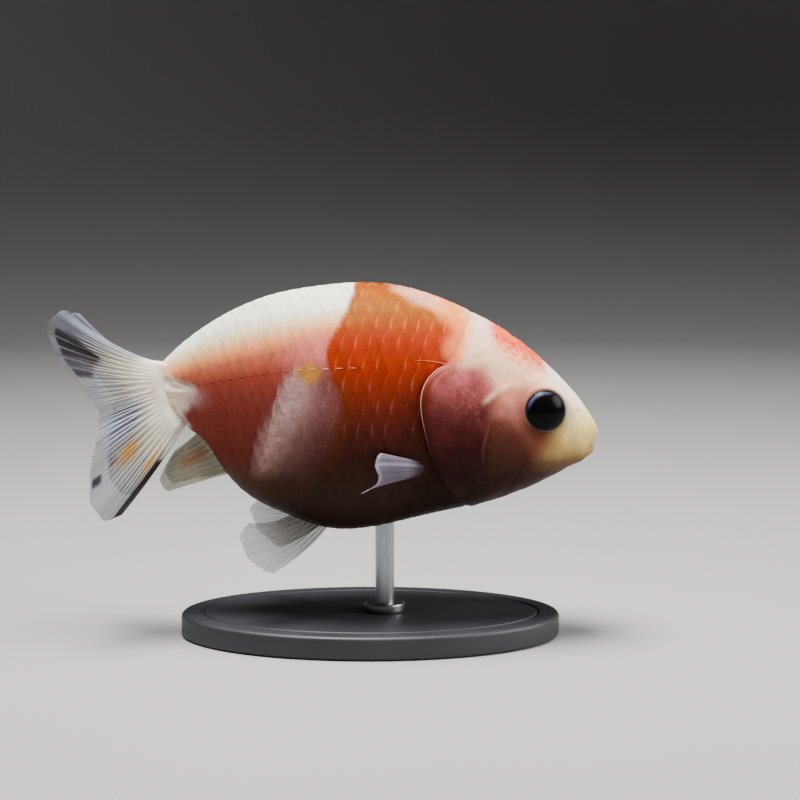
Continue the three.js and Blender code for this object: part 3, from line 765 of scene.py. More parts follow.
def add_piece(name, points, faces, material, smooth=True):
    """A mesh object from points in millimetres, in place."""
    mesh = bpy.data.meshes.new(name)
    mesh.from_pydata((np.asarray(points, float) * MM).tolist(), [], [list(map(int, f)) for f in faces])
    mesh.validate()
    piece = bpy.data.objects.new(name, mesh)
    bpy.context.scene.collection.objects.link(piece)
    mesh.materials.append(material)
    if smooth:
        mesh.shade_smooth()
    return piece


def give(piece, name, values):
    """Stores numbers or colours on a piece's points, for its material."""
    values = np.asarray(values, np.float32)
    kind, field = ("FLOAT", "value") if values.ndim == 1 else ("FLOAT_COLOR", "color")
    if values.ndim == 2:
        values = np.concatenate([values, np.ones((len(values), 1), np.float32)], axis=1)
    attribute = piece.data.attributes.new(name, kind, "POINT")
    attribute.data.foreach_set(field, values.ravel())


def settle(piece, slot, *nodes):
    """Puts a finished piece on the model: what it rides on, and the CAD parts it stands for, which it hides.
    The slot is not used.
    """
    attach(piece, BODY_NAME)
    if nodes:
        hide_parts(*nodes)
    return piece


def turned(faces, turn):
    """Faces, turned over if asked, so that they point outwards on the other side of the fish."""
    return [face[::-1] for face in faces] if turn else faces


def nothing_selected():
    if bpy.context.mode != "OBJECT":
        bpy.ops.object.mode_set(mode="OBJECT")
    bpy.ops.object.select_all(action="DESELECT")


def just_made(name):
    """The object that an operator has just made, under a name of its own."""
    piece = bpy.context.object
    piece.name = piece.data.name = name
    return piece


def only_selected(piece):
    nothing_selected()
    piece.select_set(True)
    bpy.context.view_layer.objects.active = piece


def set_place():
    """Moves the place, turn and size of what is selected into its mesh."""
    bpy.ops.object.transform_apply(location=True, rotation=True, scale=True)


def shade_by_angle(degrees):
    bpy.ops.object.shade_smooth_by_angle(angle=math.radians(degrees))
    nothing_selected()


def finish_mesh(piece, angle):
    """Sets the place in the mesh, turns the faces outwards and shades by angle."""
    only_selected(piece)
    set_place()
    bpy.ops.object.mode_set(mode="EDIT")
    bpy.ops.mesh.select_all(action="SELECT")
    bpy.ops.mesh.normals_make_consistent(inside=False)
    bpy.ops.object.mode_set(mode="OBJECT")
    shade_by_angle(angle)


# ---------- Materials ----------


class Value:
    """A shader socket on which arithmetic adds Math nodes."""

    def __init__(self, recipe, socket):
        self.recipe, self.socket = recipe, socket

    def math(self, operation, *others):
        return self.recipe.node("ShaderNodeMath", {"operation": operation}, *(self, *others))

    def __add__(self, other):
        return self.math("ADD", other)

    __radd__ = __add__

    def __sub__(self, other):
        return self.math("SUBTRACT", other)

    def __rsub__(self, other):
        return (self * -1) + other

    def __mul__(self, other):
        return self.math("MULTIPLY", other)

    __rmul__ = __mul__

    def __truediv__(self, other):
        return self.math("DIVIDE", other)

    def __abs__(self):
        return self.math("ABSOLUTE")

    def clear(self):
        """The value held between 0 and 1."""
        return self.math("MINIMUM", 1.0).math("MAXIMUM", 0.0)


class Recipe:
    """A material being made of nodes."""

    COLOUR_MIX = ("Factor", 6, 7)  # a Mix node's factor and its two colour sockets
    DARK_GRAIN, LIGHT_GRAIN = (0.66, 0.64, 0.64), (1.06, 1.06, 1.06)
    DARK_BONE = (0.5, 0.48, 0.5)

    def __init__(self, name):
        self.material = bpy.data.materials.new(name)
        self.material.use_nodes = True
        self.tree = self.material.node_tree
        self.tree.nodes.clear()

    def node(self, kind, settings=None, *values, out=0, **named):
        """Adds a node, its settings first, and then the values or links of its sockets."""
        node = self.tree.nodes.new(kind)
        for name, setting in (settings or {}).items():
            setattr(node, name, setting)
        pairs = [(node.inputs[i], value) for i, value in enumerate(values)]
        pairs += [(node.inputs[name.replace("_", " ")], value) for name, value in named.items()]
        for socket, value in pairs:
            if isinstance(value, Value):
                self.tree.links.new(value.socket, socket)
            elif value is not None:
                socket.default_value = value
        return Value(self, node.outputs[out]) if len(node.outputs) else None

    def attribute(self, name, out="Fac"):
        return self.node("ShaderNodeAttribute", {"attribute_name": name}, out=out)

    def place(self):
        return self.node("ShaderNodeTexCoord", out="Object")

    def noise(self, size, place=None, detail=2.0, stretch=None):
        """Noise with blobs of a size in millimetres."""
        place = place or self.place()
        if stretch:
            place = self.node("ShaderNodeMapping", {"vector_type": "POINT"}, Vector=place, Scale=stretch)
        return self.node("ShaderNodeTexNoise", None, Vector=place, Scale=1 / (size * MM), Detail=detail)

    def cells(self, size, feature="F1"):
        """Cells of a size in millimetres."""
        return self.node("ShaderNodeTexVoronoi", {"feature": feature}, Vector=self.place(),
                         Scale=1 / (size * MM))

    def soft(self, value, low, high):
        return self.node("ShaderNodeMapRange", {"interpolation_type": "SMOOTHSTEP"},
                         Value=value, From_Min=low, From_Max=high)

    def mix(self, mask, under, over_it, blend="MIX"):
        node = self.tree.nodes.new("ShaderNodeMix")
        node.data_type = "RGBA"
        node.blend_type = blend
        sockets = (node.inputs[i] for i in self.COLOUR_MIX)
        for socket, value in zip(sockets, (mask, under, over_it)):
            if isinstance(value, Value):
                self.tree.links.new(value.socket, socket)
            else:
                socket.default_value = value if np.isscalar(value) else (*value[:3], 1)
        return Value(self, node.outputs[2])

    def shade(self, amount, tint, mask, dark, light):
        """A colour made darker and lighter where the mask says."""
        return self.mix(amount, tint, self.mix(mask, dark, light), "MULTIPLY")

    def bump(self, height, depth, strength=1.0, normal=None):
        """A bump of a depth in millimetres."""
        return self.node("ShaderNodeBump", None, Strength=strength, Distance=depth * MM, Height=height,
                         **({"Normal": normal} if normal else {}))

    def surface(self, **inputs):
        """The shader, with constants on its own sockets."""
        shader = self.node("ShaderNodeBsdfPrincipled", None, **inputs)
        self.node("ShaderNodeOutputMaterial", None, Surface=shader)
        return self.material


def rgba(tint):
    return (*tint[:3], 1)


def skin_material(colours):
    r = Recipe("wet skin")
    coat = r.attribute("coat", "Color")
    speckle, wrinkled = r.attribute("speckle"), r.attribute("wrinkled")
    grain = r.noise(0.35, detail=4)
    dots = (1 - r.soft(r.cells(0.72), 0.3, 0.52)) * speckle * r.soft(r.noise(1.8), 0.34, 0.56)
    tinted = r.mix(dots * 0.85, coat, rgba(colours.cap))
    vein = 1 - r.soft(abs(r.noise(1.1, detail=3) - 0.5), 0.0, 0.06)
    tinted = r.mix(vein * wrinkled * 0.3, tinted, rgba(colours.rose))
    # Painted shade: thin dark lines in the creases of the wrinkled gill cover.
    crease = 1 - r.soft(abs(r.noise(1.4, detail=3) - 0.5), 0.0, 0.03)
    tinted = r.mix(crease * wrinkled * 0.4, tinted, rgba(colours.brick_deep))
    mottled = r.shade(0.3, tinted, r.soft(grain, 0.3, 0.7), r.DARK_GRAIN, r.LIGHT_GRAIN)
    pebbles = r.cells(0.72, "SMOOTH_F1")
    normal = r.bump(pebbles, -0.12, 0.5 * speckle + 0.02)
    normal = r.bump(r.noise(0.22, detail=3), 0.02, 0.5, normal)
    return r.surface(Base_Color=mottled, Roughness=0.46 + 0.16 * grain, Normal=normal, Subsurface_Weight=0.08,
                     Subsurface_Radius=(1.0, 0.36, 0.22), Subsurface_Scale=0.0006, Specular_IOR_Level=0.06)


def scale_material():
    r = Recipe("scales")
    coat, glint = r.attribute("coat", "Color"), r.attribute("glint", "Color")
    shine, back, rise, own = (r.attribute(name) for name in ("shine", "back", "rise", "number"))
    # Painted highlight: the glint colour on the upper part of each scale's rear edge, where the light from
    # above catches it.
    upper = r.soft(rise, -0.15, 0.2) * (1 - r.soft(rise, 0.4, 0.75))
    uneven = r.soft(r.noise(2.6, detail=3), 0.36, 0.6)
    edge = r.soft(back, 0.88, 1.01) * (0.03 + 0.55 * upper * uneven)
    shadow = r.soft(back, 0.46, 0.54) * (1 - r.soft(back, 0.54, 0.85))
    spread = r.node("ShaderNodeCombineXYZ", None, rise * 6, back * 2.4, own * 60)
    streak = r.node("ShaderNodeTexNoise", None, Vector=spread, Scale=1.0, Detail=3.0)
    grain = r.noise(0.28, detail=4)
    dark = r.shade(0.28, coat, r.soft(grain, 0.32, 0.68), r.DARK_GRAIN, r.LIGHT_GRAIN)
    dark = r.shade(0.1 + 0.2 * shine, dark, r.soft(streak, 0.32, 0.66), (0.5, 0.45, 0.45), (1.2, 1.18, 1.16))
    cloud = r.soft(r.noise(1.1, detail=5), 0.36, 0.62)
    dark = r.shade(0.35 * shine, dark, cloud, (0.5, 0.45, 0.45), (1.3, 1.28, 1.26))
    dark = r.mix(shadow * 0.3, dark, (0.62, 0.5, 0.46), "MULTIPLY")
    tint = r.mix(edge, dark, glint)
    rings = r.node("ShaderNodeMath", {"operation": "SINE"}, back * 110)
    normal = r.bump(rings, 0.005, 0.4)
    normal = r.bump(grain, 0.02, 0.35, normal)
    return r.surface(Base_Color=tint, Roughness=0.48 - 0.16 * shine + 0.12 * grain, Metallic=0.25 * shine,
                     Normal=normal, Subsurface_Weight=0.05, Subsurface_Radius=(1.0, 0.4, 0.25),
                     Subsurface_Scale=0.0005, Specular_IOR_Level=0.05)


def rim_material():
    r = Recipe("gill edge")
    coat = r.attribute("coat", "Color")
    grain = r.noise(0.4, detail=3)
    tint = r.shade(0.3, coat, r.soft(grain, 0.3, 0.7), (0.7, 0.66, 0.66), (1, 1, 1))
    return r.surface(Base_Color=tint, Roughness=0.34 + 0.12 * grain, Subsurface_Weight=0.2,
                     Subsurface_Radius=(1, 0.5, 0.4), Subsurface_Scale=0.0005, Coat_Weight=0.05,
                     Coat_Roughness=0.2, Specular_IOR_Level=0.15)


def eye_material(eyes):
    r = Recipe("eye")
    away = r.attribute("away")
    upper = r.attribute("upper")
    pupil = eyes.pupil / MM
    opening = eyes.opening / MM
    threads = r.noise(0.5, detail=4)
    iris = r.mix(r.soft(threads, 0.35, 0.65), rgba(eyes.iris), tuple(0.45 * t for t in eyes.iris))
    # Painted reflection: a violet arc along the top of the pupil.
    arc = r.soft(upper, 0.45, 0.95) * r.soft(away, pupil - 0.5, pupil) * 0.8
    violet = r.mix(arc, rgba(eyes.black), rgba(eyes.sheen))
    inside = r.mix(r.soft(away, pupil, pupil + 0.1), violet, iris)
    return r.surface(Base_Color=inside, Roughness=0.2 + 0.12 * r.soft(away, pupil, opening),
                     Specular_IOR_Level=0.06)


def lid_material():
    r = Recipe("eye rim")
    grain = r.noise(0.3, detail=3)
    tint = r.mix(r.soft(grain, 0.3, 0.7), paint("#5E5456"), paint("#8A7E7E"))
    return r.surface(Base_Color=tint, Roughness=0.35 + 0.15 * grain, Coat_Weight=0.15, Coat_Roughness=0.2)


def fin_material(name, rays, root):
    """A fin of rays that branch twice, with a clear web between them."""
    r = Recipe(name)
    across, along = r.attribute("across"), r.attribute("along")
    web, bone = r.attribute("web", "Color"), r.attribute("bone", "Color")
    clear, solid = r.attribute("clear"), r.attribute("solid")
    first = r.soft(along, 0.25, 0.62) * 0.22
    second = r.soft(along, 0.55, 0.92) * 0.11
    cell = abs(r.node("ShaderNodeMath", {"operation": "FRACT"}, across * rays) - 0.5)
    offset = abs(abs(cell - first) - second)
    width = 0.19 - 0.13 * r.soft(along, 0.1, 0.85)
    ray = 1 - r.soft(offset / width, 0.5, 1.1)
    groove = r.soft(offset / width, 1.0, 1.35) * (1 - r.soft(offset / width, 1.4, 2.2))
    spread = r.node("ShaderNodeCombineXYZ", None, across * rays * 1.7, along * 1.2, 0.0)
    uneven = r.soft(r.node("ShaderNodeTexNoise", None, Vector=spread, Scale=1.0, Detail=2.0), 0.3, 0.7)
    joints = r.soft(abs(r.node("ShaderNodeMath", {"operation": "FRACT"}, along * 44) - 0.5), 0.34, 0.46)
    joints = joints * r.soft(along, root, root + 0.12)
    fine = r.noise(0.4, detail=3)
    free = r.soft(along, root * 0.8, root * 1.4)
    # Painted shade: the web is darkened in the grooves beside each ray.
    membrane = r.mix(0.2 * r.soft(fine, 0.3, 0.7) + 0.18 * groove * free, web,
                     r.mix(1.0, web, (0.5, 0.48, 0.52), "MULTIPLY"))
    dark_bone = r.mix(1.0, bone, r.DARK_BONE, "MULTIPLY")
    bony = r.mix(joints * 0.4 + 0.15 * (1 - uneven) * free, bone, dark_bone)
    base = r.mix(ray, membrane, bony)
    cover = (clear + (solid - clear) * ray * (0.55 + 0.45 * uneven) * (1 - r.soft(along, 0.95, 1.0))).clear()
    normal = r.bump((ray - 0.15 * joints * ray) * r.soft(along, root * 0.6, root * 1.3), 0.05, 0.5)
    return r.surface(Base_Color=base, Alpha=cover, Roughness=0.38 + 0.18 * fine, Normal=normal,
                     Subsurface_Weight=0.1, Subsurface_Radius=(1, 0.8, 0.7), Subsurface_Scale=0.0004,
                     Specular_IOR_Level=0.1)


def base_material(stand):
    r = Recipe("satin paint")
    grain = r.noise(0.25, detail=3)
    cloud = r.noise(9.0)
    tint = r.mix(r.soft(cloud, 0.3, 0.7), rgba(stand.base), tuple(1.25 * t for t in stand.base))
    return r.surface(Base_Color=tint, Roughness=0.42 + 0.12 * cloud, Normal=r.bump(grain, 0.02, 0.35),
                     Specular_IOR_Level=0.45)


def steel_material(stand):
    r = Recipe("brushed steel")
    brushed = r.noise(0.12, detail=3, stretch=(1, 1, 0.04))
    tint = r.mix(r.soft(brushed, 0.3, 0.7), tuple(0.8 * t for t in stand.steel), rgba(stand.steel))
    return r.surface(Base_Color=tint, Metallic=1.0, Roughness=0.26 + 0.16 * brushed,
                     Normal=r.bump(brushed, 0.01, 0.4))


def floor_material(stage):
    r = Recipe("studio floor")
    cloud = r.noise(60.0, detail=3)
    tint = r.mix(r.soft(cloud, 0.2, 0.8), rgba(stage.floor), tuple(0.97 * t for t in stage.floor))
    return r.surface(Base_Color=tint, Roughness=0.75 + 0.1 * cloud, Specular_IOR_Level=0.2)


# ---------- Skin and scales ----------


class GOLDFISH_OT_skin(Operator):
    """One skin over head, jaw, gill covers, trunk and tail stalk"""

    bl_idname = "goldfish.make_skin"
    bl_label = "Skin"

    def execute(self, context):
        scene = context.scene
        skin = scene.goldfish_skin
        body = Body()
        grid = body.rings(skin_stations(body, skin.rings), skin.sides)
        flat = grid.reshape(-1, 3)
        out = relief(flat, skin) - scaled_part(flat) * skin.coat_depth / MM
        flat = flat + normals_of(grid).reshape(-1, 3) * out[:, None]
        flat = seat_eyes(flat, scene.goldfish_eyes)
        made = flat.reshape(grid.shape)
        poles = [made[0].mean(axis=0) - (0.1, 0, 0), made[-1].mean(axis=0) - (0.05, 0, 0)]
        points = np.concatenate([[poles[0]], flat, [poles[1]]])
        quads = ring_faces(skin.rings, skin.sides, 1)
        last = 1 + (skin.rings - 1) * skin.sides
        ends = [(0, 1 + k, 1 + (k + 1) % skin.sides) for k in range(skin.sides)]
        ends += [(len(points) - 1, last + (k + 1) % skin.sides, last + k) for k in range(skin.sides)]
        piece = add_piece("skin", points, [*quads.tolist(), *ends], skin_material(scene.goldfish_colours))
        tint, _, _, speckle = Markings(scene.goldfish_colours)(points)
        give(piece, "coat", self.mouth(tint, points))
        give(piece, "speckle", speckle)
        give(piece, "wrinkled", wrinkled_part(points))
        settle(piece, "skin_body", "head", "lower_jaw", "gill_cover_left", "gill_cover_right", "trunk",
               "tail_stalk")
        return {"FINISHED"}

    def mouth(self, tint, points):
        """Darkens the inside of the mouth and the nostrils: painted shade in these openings."""
        x, side, z = side_view(points)
        from_gap = np.abs(z - 26.45 + 0.18 * side ** 2)
        inside = soft(30.5, 29.6, x + 0.24 * side ** 2) * soft(1.0, 0.5, from_gap) * (x > 28) * (side < 2.6)
        tint = tint * (1 - 0.75 * inside)[:, None]
        return tint * (1 - 0.35 * bump(from_nostril(points), 0.3))[:, None]


class ScaleField:
    """The rows in which the scales stand: a column number along the fish and a row number up from the lateral
    line give a place on the body."""

    STATIONS, ROUND = 420, 720
    EVEN = 20  # stations on each side over which the lateral line's course is evened out

    def __init__(self, scales):
        body = Body()
        first, last = body.stations[FIRST_SCALED - 1], body.stations[-3]
        self.grid = body.rings(np.linspace(first, last, self.STATIONS), self.ROUND)
        self.normal = normals_of(self.grid)
        left = self.grid[:, :self.ROUND // 2 + 1]
        line = height_of(LATERAL_LINE, left[:, :, 0])
        crossing = np.array([np.argmin(np.abs(gap)) for gap in (left[:, :, 2] - line)])
        window = 2 * self.EVEN + 1
        padded = np.pad(crossing.astype(float), self.EVEN, mode="edge")
        self.lateral = np.convolve(padded, np.ones(window) / window, "valid") / self.ROUND
        self.girth = body.girths
        size = (self.girth / self.girth.max()) ** 0.5
        self.row = scales.row / MM * size
        middle = self.grid[np.arange(self.STATIONS), crossing]
        pitch = scales.pitch / MM * size ** 0.8
        steps = np.linalg.norm(np.diff(middle, axis=0), axis=1) / pitch[1:]
        self.column = np.concatenate(([0.0], np.cumsum(steps)))

    def rows_at(self, column):
        """The station of column numbers, the lateral line's share of the way round and the rows' spacing."""
        station = np.interp(column, self.column, np.arange(self.STATIONS))
        lateral = np.interp(station, np.arange(self.STATIONS), self.lateral)
        spacing = np.interp(station, np.arange(self.STATIONS), self.row / self.girth)
        return station, lateral, spacing

    def place(self, column, row):
        """Points and normals at column and row numbers on the left side, and their shares along and round."""
        station, lateral, spacing = self.rows_at(column)
        round_it = (lateral + row * spacing) % 1.0 * self.ROUND
        i = np.clip(station.astype(int), 0, self.STATIONS - 2)
        k = np.floor(round_it).astype(int) % self.ROUND
        a, b = (station - i)[..., None], (round_it - np.floor(round_it))[..., None]
        after = (k + 1) % self.ROUND
        found = []
        for grid in (self.grid, self.normal):
            low = grid[i, k] * (1 - b) + grid[i, after] * b
            high = grid[i + 1, k] * (1 - b) + grid[i + 1, after] * b
            found.append(low * (1 - a) + high * a)
        normal = found[1] / np.linalg.norm(found[1], axis=-1, keepdims=True)
        return found[0], normal, np.stack([station / self.STATIONS, lateral + row * spacing], axis=-1)

    def rows_left(self, column):
        """How many rows fit between the lateral line and the back, and between it and the belly."""
        _, lateral, spacing = self.rows_at(column)
        return (0.5 - lateral) / spacing, lateral / spacing


class GOLDFISH_OT_scales(Operator):
    """Overlapping scales in rows along the body"""

    bl_idname = "goldfish.make_scales"
    bl_label = "Scales"

    ACROSS = 10       # faces along a scale's rear edge
    OPENING = 1.1     # half the angle of the rear edge's arc, in radians
    LONG = 2.15       # a scale's length, in pitches
    WIDE = 0.98       # half a scale's width, in row spacings
    PATCH = 0.003     # size of a scale's patch on the unwrapped body
    MARGIN = 0.02     # free edge of that map
    MOST_ROWS = 9     # most rows above or below the lateral line
    EDGE_ROW = 0.35   # least distance of a row from the middle of the back or belly, in rows
    SEED = 40         # of the scales' unevenness
    ROWS = (          # share of the length, step back in pitches, height in lifts
        (0.0, 0.0, -3.6), (0.55, 0.0, -1.1), (0.68, 0.0, -0.8), (0.8, 0.0, -0.5), (0.91, -0.05, -0.2),
        (1.0, -0.15, 0.0), (1.08, 0.0, -1.2),
    )

    def template(self):
        """A scale's points as (column, row, share from front to back, height in lifts), and its faces."""
        turn = np.linspace(-self.OPENING, self.OPENING, self.ACROSS + 1)
        rise = np.sin(turn) / math.sin(self.OPENING)
        rear = 0.5 - 0.5 * (1 - np.cos(turn)) / (1 - math.cos(self.OPENING))
        front = 0.5 - self.LONG * (1 - 0.25 * rise ** 2)
        rows = []
        for part, back, height in self.ROWS:
            narrow = rise * (0.72 + 0.28 * min(part, 1))
            level = height - 0.7 * rise ** 4 * (part > 0)
            rows.append(np.stack([front + (rear - front) * min(part, 1) + back, narrow,
                                  np.full_like(rise, part), level], axis=-1))
        points = np.concatenate([*rows, [[-0.8, 0, 0.4, -4.5]]])
        n, last = self.ACROSS + 1, len(self.ROWS) - 1
        faces = [(row * n + k, row * n + k + 1, row * n + k + 1 + n, row * n + k + n)
                 for row in range(last) for k in range(self.ACROSS)]
        border = [*range(last * n, (last + 1) * n), *(row * n + n - 1 for row in range(last - 1, 0, -1)),
                  *range(n - 1, -1, -1), *(row * n for row in range(1, last))]
        faces += [(here, border[(k + 1) % len(border)], (last + 1) * n) for k, here in enumerate(border)]
        return points, faces

    def roots(self, field, sign):
        """Column and row numbers of one side's scales, each with its own small unevenness. The rows along the
        middle of the back and belly go with the left side."""
        random = np.random.default_rng(self.SEED + sign)
        last = int(field.column[-1])
        found = []
        for column in range(-2, last + 1):
            for row in range(-self.MOST_ROWS, self.MOST_ROWS + 1):
                place = column + 0.5 * (row % 2)
                above, below = field.rows_left(place)
                if -below + self.EDGE_ROW < row < above - self.EDGE_ROW:
                    found.append((place, row, *random.normal(size=4)))
            if sign > 0:
                above, below = field.rows_left(column)
                found.append((column + 0.25, above, *0.3 * random.normal(size=4)))
                found.append((column + 0.25, -below, *0.3 * random.normal(size=4)))
        return np.array(found)

    def build(self, context, name, sign):
        scales = context.scene.goldfish_scales
        field = ScaleField(scales)
        roots = self.roots(field, sign)
        spot = field.place(roots[:, 0], roots[:, 1])[0] * (1, sign, 1)
        root_edge, _ = from_line(ROOT_EDGE, spot[:, 0], spot[:, 2])
        kept = (behind_head(spot) > -1.2) & (root_edge > -0.6)
        roots, spot = roots[kept], spot[kept]
        template, faces = self.template()
        n, m = len(roots), len(template)
        uneven = scales.wander * roots[:, 2:].T[..., None]
        grow = 1 + 0.06 * uneven[0]
        column = roots[:, 0:1] + template[None, :, 0] * grow + 0.12 * uneven[1]
        row = roots[:, 1:2] + template[None, :, 1] * self.WIDE * grow + 0.08 * uneven[2]
        points, normals, _ = field.place(column, row)
        size = np.interp(column, field.column, field.row) / field.row.max()
        points = points * (1, sign, 1)
        edge, _ = from_line(ROOT_EDGE, points[..., 0], points[..., 2])
        high = soft(*NAPE_TOP, points[..., 2])
        cover = soft(-0.15, 0.35 + 1.3 * high, behind_head(points)) * soft(-0.9, 0.6, edge)
        lift = scales.lift / MM * (0.35 + 0.65 * size) * (template[None, :, 3] + 0.3 * uneven[3])
        lift = lift * cover - 0.5 * (1 - cover)
        points = (points + normals * (1, sign, 1) * lift[..., None]).reshape(-1, 3)
        all_faces = [[i * m + v for v in face] for i in range(n) for face in turned(faces, sign > 0)]
        piece = add_piece(name, points, all_faces, scale_material(), smooth=False)
        only_selected(piece)
        shade_by_angle(SCALE_ANGLE)
        tint, glint, shine, _ = Markings(context.scene.goldfish_colours)(points, np.repeat(spot, m, axis=0))
        tone = np.repeat(1 + 0.035 * roots[:, 5], m)[:, None]
        give(piece, "coat", np.clip(tint * tone, 0, 1))
        give(piece, "glint", glint)
        give(piece, "shine", shine)
        give(piece, "back", np.tile(template[:, 2], n))
        give(piece, "rise", np.tile(template[:, 1], n))
        give(piece, "number", np.repeat(roots[:, 4], m))
        self.unwrap(piece, roots, field, template)
        settle(piece, "skin_body")

    def unwrap(self, piece, roots, field, template):
        """A map on which each scale is a small patch at its root's place on the unwrapped body."""
        where = field.place(roots[:, 0], roots[:, 1])[2]
        corner = np.stack([template[:, 2] - 0.5, template[:, 1] * 0.5], axis=-1) * self.PATCH
        places = (where[:, None, :] * (1 - 2 * self.MARGIN) + self.MARGIN + corner[None]).reshape(-1, 2)
        layer = piece.data.uv_layers.new(name="OFBake")
        loops = np.empty(len(piece.data.loops), np.int32)
        piece.data.loops.foreach_get("vertex_index", loops)
        layer.data.foreach_set("uv", places[loops].astype(np.float32).ravel())

    def execute(self, context):
        for name, sign in SIDES.items():
            self.build(context, "scales_" + name, sign)
        return {"FINISHED"}


# ---------- Small parts of the head and flank ----------


class SideFinder:
    """Finds the body's surface at (x, z) on the left side."""

    STATIONS, ROUND = 500, 560
    LEFT = slice(20, 260)  # the left side's share of the points round a ring
    NEAR = 12              # points that are averaged

    def __init__(self):
        body = Body()
        at = np.linspace(body.stations[FIRST_LIP], body.stations[-2], self.STATIONS)
        grid = body.rings(at, self.ROUND)
        self.normals = normals_of(grid)[:, self.LEFT].reshape(-1, 3)
        self.points = grid[:, self.LEFT].reshape(-1, 3)

    def __call__(self, x, z):
        places, normals = [], []
        for px, pz in zip(x, z):
            gap = np.hypot(self.points[:, 0] - px, self.points[:, 2] - pz)
            near = np.argpartition(gap, self.NEAR)[:self.NEAR]
            weight = bump(gap[near], 0.25) + 1e-6
            weight /= weight.sum()
            places.append((px, weight @ self.points[near, 1], pz))
            normal = weight @ self.normals[near]
            normals.append(normal / np.linalg.norm(normal))
        return np.array(places), np.array(normals)


def sweep_bead(path, normals, width, height, sides=10):
    """Points and faces of a flattened bead that tapers to nothing at both ends."""
    run = np.gradient(path, axis=0)
    run /= np.linalg.norm(run, axis=1, keepdims=True)
    beside = np.cross(normals, run)
    turn = np.linspace(0, 2 * np.pi, sides, endpoint=False)
    loops = (path[:, None] + beside[:, None] * (np.cos(turn)[None, :] * width[:, None])[..., None]
             + normals[:, None] * (np.sin(turn)[None, :] * height[:, None])[..., None])
    points = np.concatenate([[path[0]], loops.reshape(-1, 3), [path[-1]]])
    faces = ring_faces(len(path), sides, 1)[:, ::-1].tolist()
    last = 1 + (len(path) - 1) * sides
    faces += [(0, 1 + (k + 1) % sides, 1 + k) for k in range(sides)]
    faces += [(len(points) - 1, last + k, last + (k + 1) % sides) for k in range(sides)]
    return points, faces


class GOLDFISH_OT_gill_edges(Operator):
    """Thin pale edge of each gill cover, and the small fold that runs back from it"""

    bl_idname = "goldfish.make_gill_edges"
    bl_label = "Gill Edges"

    MARKS, SHOWN = 150, slice(4, 92)  # points along the gill cover's rim, and those that the bead runs over
    BEAD_SIZE = (0.055, 0.09)         # half the width and height of the rim's bead, in millimetres
    FOLD_SIZE = (0.055, 0.055)        # and of the fold on the shoulder

    def execute(self, context):
        finder = SideFinder()
        lift = context.scene.goldfish_skin.gill_lift / MM
        rim = Line(GILL_RIM).samples(self.MARKS)[self.SHOWN]
        points, faces = self.bead(finder, rim, lift * 0.62, *self.BEAD_SIZE)
        fold, fold_faces = self.bead(finder, Line(SHOULDER_FOLD).samples(40), 0.0, *self.FOLD_SIZE)
        faces += [[v + len(points) for v in face] for face in fold_faces]
        folded = np.arange(len(points) + len(fold)) >= len(points)
        points = np.concatenate([points, fold])
        c = context.scene.goldfish_colours
        gill, nape, peach = (np.array(tint) for tint in (c.gill, c.nape, c.peach))
        # The edge darkens toward the throat, partly painted shade from the light above.
        tint = ramp(points[:, 2], (22, c.dusk), (25.5, c.gill_deep), (28.5, gill * 0.8),
                    (31, 0.5 * gill + 0.4 * nape), (35, 0.7 * nape + 0.2 * gill), (38, peach))
        tint = over(tint, peach * (0.85, 0.6, 0.5), folded)
        for name, sign in SIDES.items():
            placed = points * (1, sign, 1)
            piece = add_piece("gill_edge_" + name, placed, turned(faces, sign < 0), rim_material())
            give(piece, "coat", tint)
            settle(piece, "skin_gill")
        return {"FINISHED"}

    def bead(self, finder, marks, lift, width, height):
        """A thin bead along a line on the side of the body, thickest before its middle."""
        places, normals = finder(marks[:, 0], marks[:, 1])
        part = np.linspace(0, 1, len(places))
        taper = 0.25 + 0.75 * soft(0, 0.15, part) * soft(1, 0.45, part)
        path = places + normals * (lift * soft(0, 0.2, part))[:, None]
        return sweep_bead(path, normals, width * taper, height * taper)


class GOLDFISH_OT_lateral_line(Operator):
    """A pale pore tube on each scale of the lateral line"""

    bl_idname = "goldfish.make_lateral_line"
    bl_label = "Lateral Line"

    HALF_LENGTH = 0.26   # of a tube, in scale pitches
    ROUND_LENGTH = 0.28  # half the length at which its rounded ends would close
    THICK = 0.07         # half its thickness, in millimetres
    SUNK = 0.035         # how deep its middle lies under the plain body, in millimetres
    FRONT = -0.5         # x ahead of which no tube shows

    def execute(self, context):
        scales = context.scene.goldfish_scales
        field = ScaleField(scales)
        columns = np.arange(0, int(field.column[-1]))
        spot, _, _ = field.place(columns.astype(float), np.zeros(len(columns)))
        behind, _ = from_line(GILL_RIM, spot[:, 0], spot[:, 2])
        root, _ = from_line(ROOT_EDGE, spot[:, 0], spot[:, 2])
        points, faces = [], []
        run = np.linspace(-self.HALF_LENGTH, self.HALF_LENGTH, 7)
        round_end = np.sqrt(np.clip(1 - (run / self.ROUND_LENGTH) ** 2, 0.02, 1))
        height = self.THICK * round_end
        for column in columns[(behind < -0.3) & (root > 0) & (spot[:, 0] < self.FRONT)]:
            path, normals, _ = field.place(column + 0.1 + run, np.full(len(run), 0.1))
            fade = float(soft(field.column[-1], 8, column))
            width = height * (0.4 + 0.6 * fade)
            loops, sides = sweep_bead(path - normals * self.SUNK, normals, width, height, 6)
            faces += [[v + sum(map(len, points)) for v in face] for face in sides]
            points.append(loops)
        points = np.concatenate(points)
        for name, sign in SIDES.items():
            placed = points * (1, sign, 1)
            piece = add_piece("lateral_line_" + name, placed, turned(faces, sign < 0), rim_material())
            tint = Markings(context.scene.goldfish_colours)(placed)[0]
            pale = np.array(context.scene.goldfish_colours.nape)
            give(piece, "coat", over(tint, pale, 0.6 * bump(placed[:, 0] + 6, 4)))
            settle(piece, "skin_body")
        return {"FINISHED"}


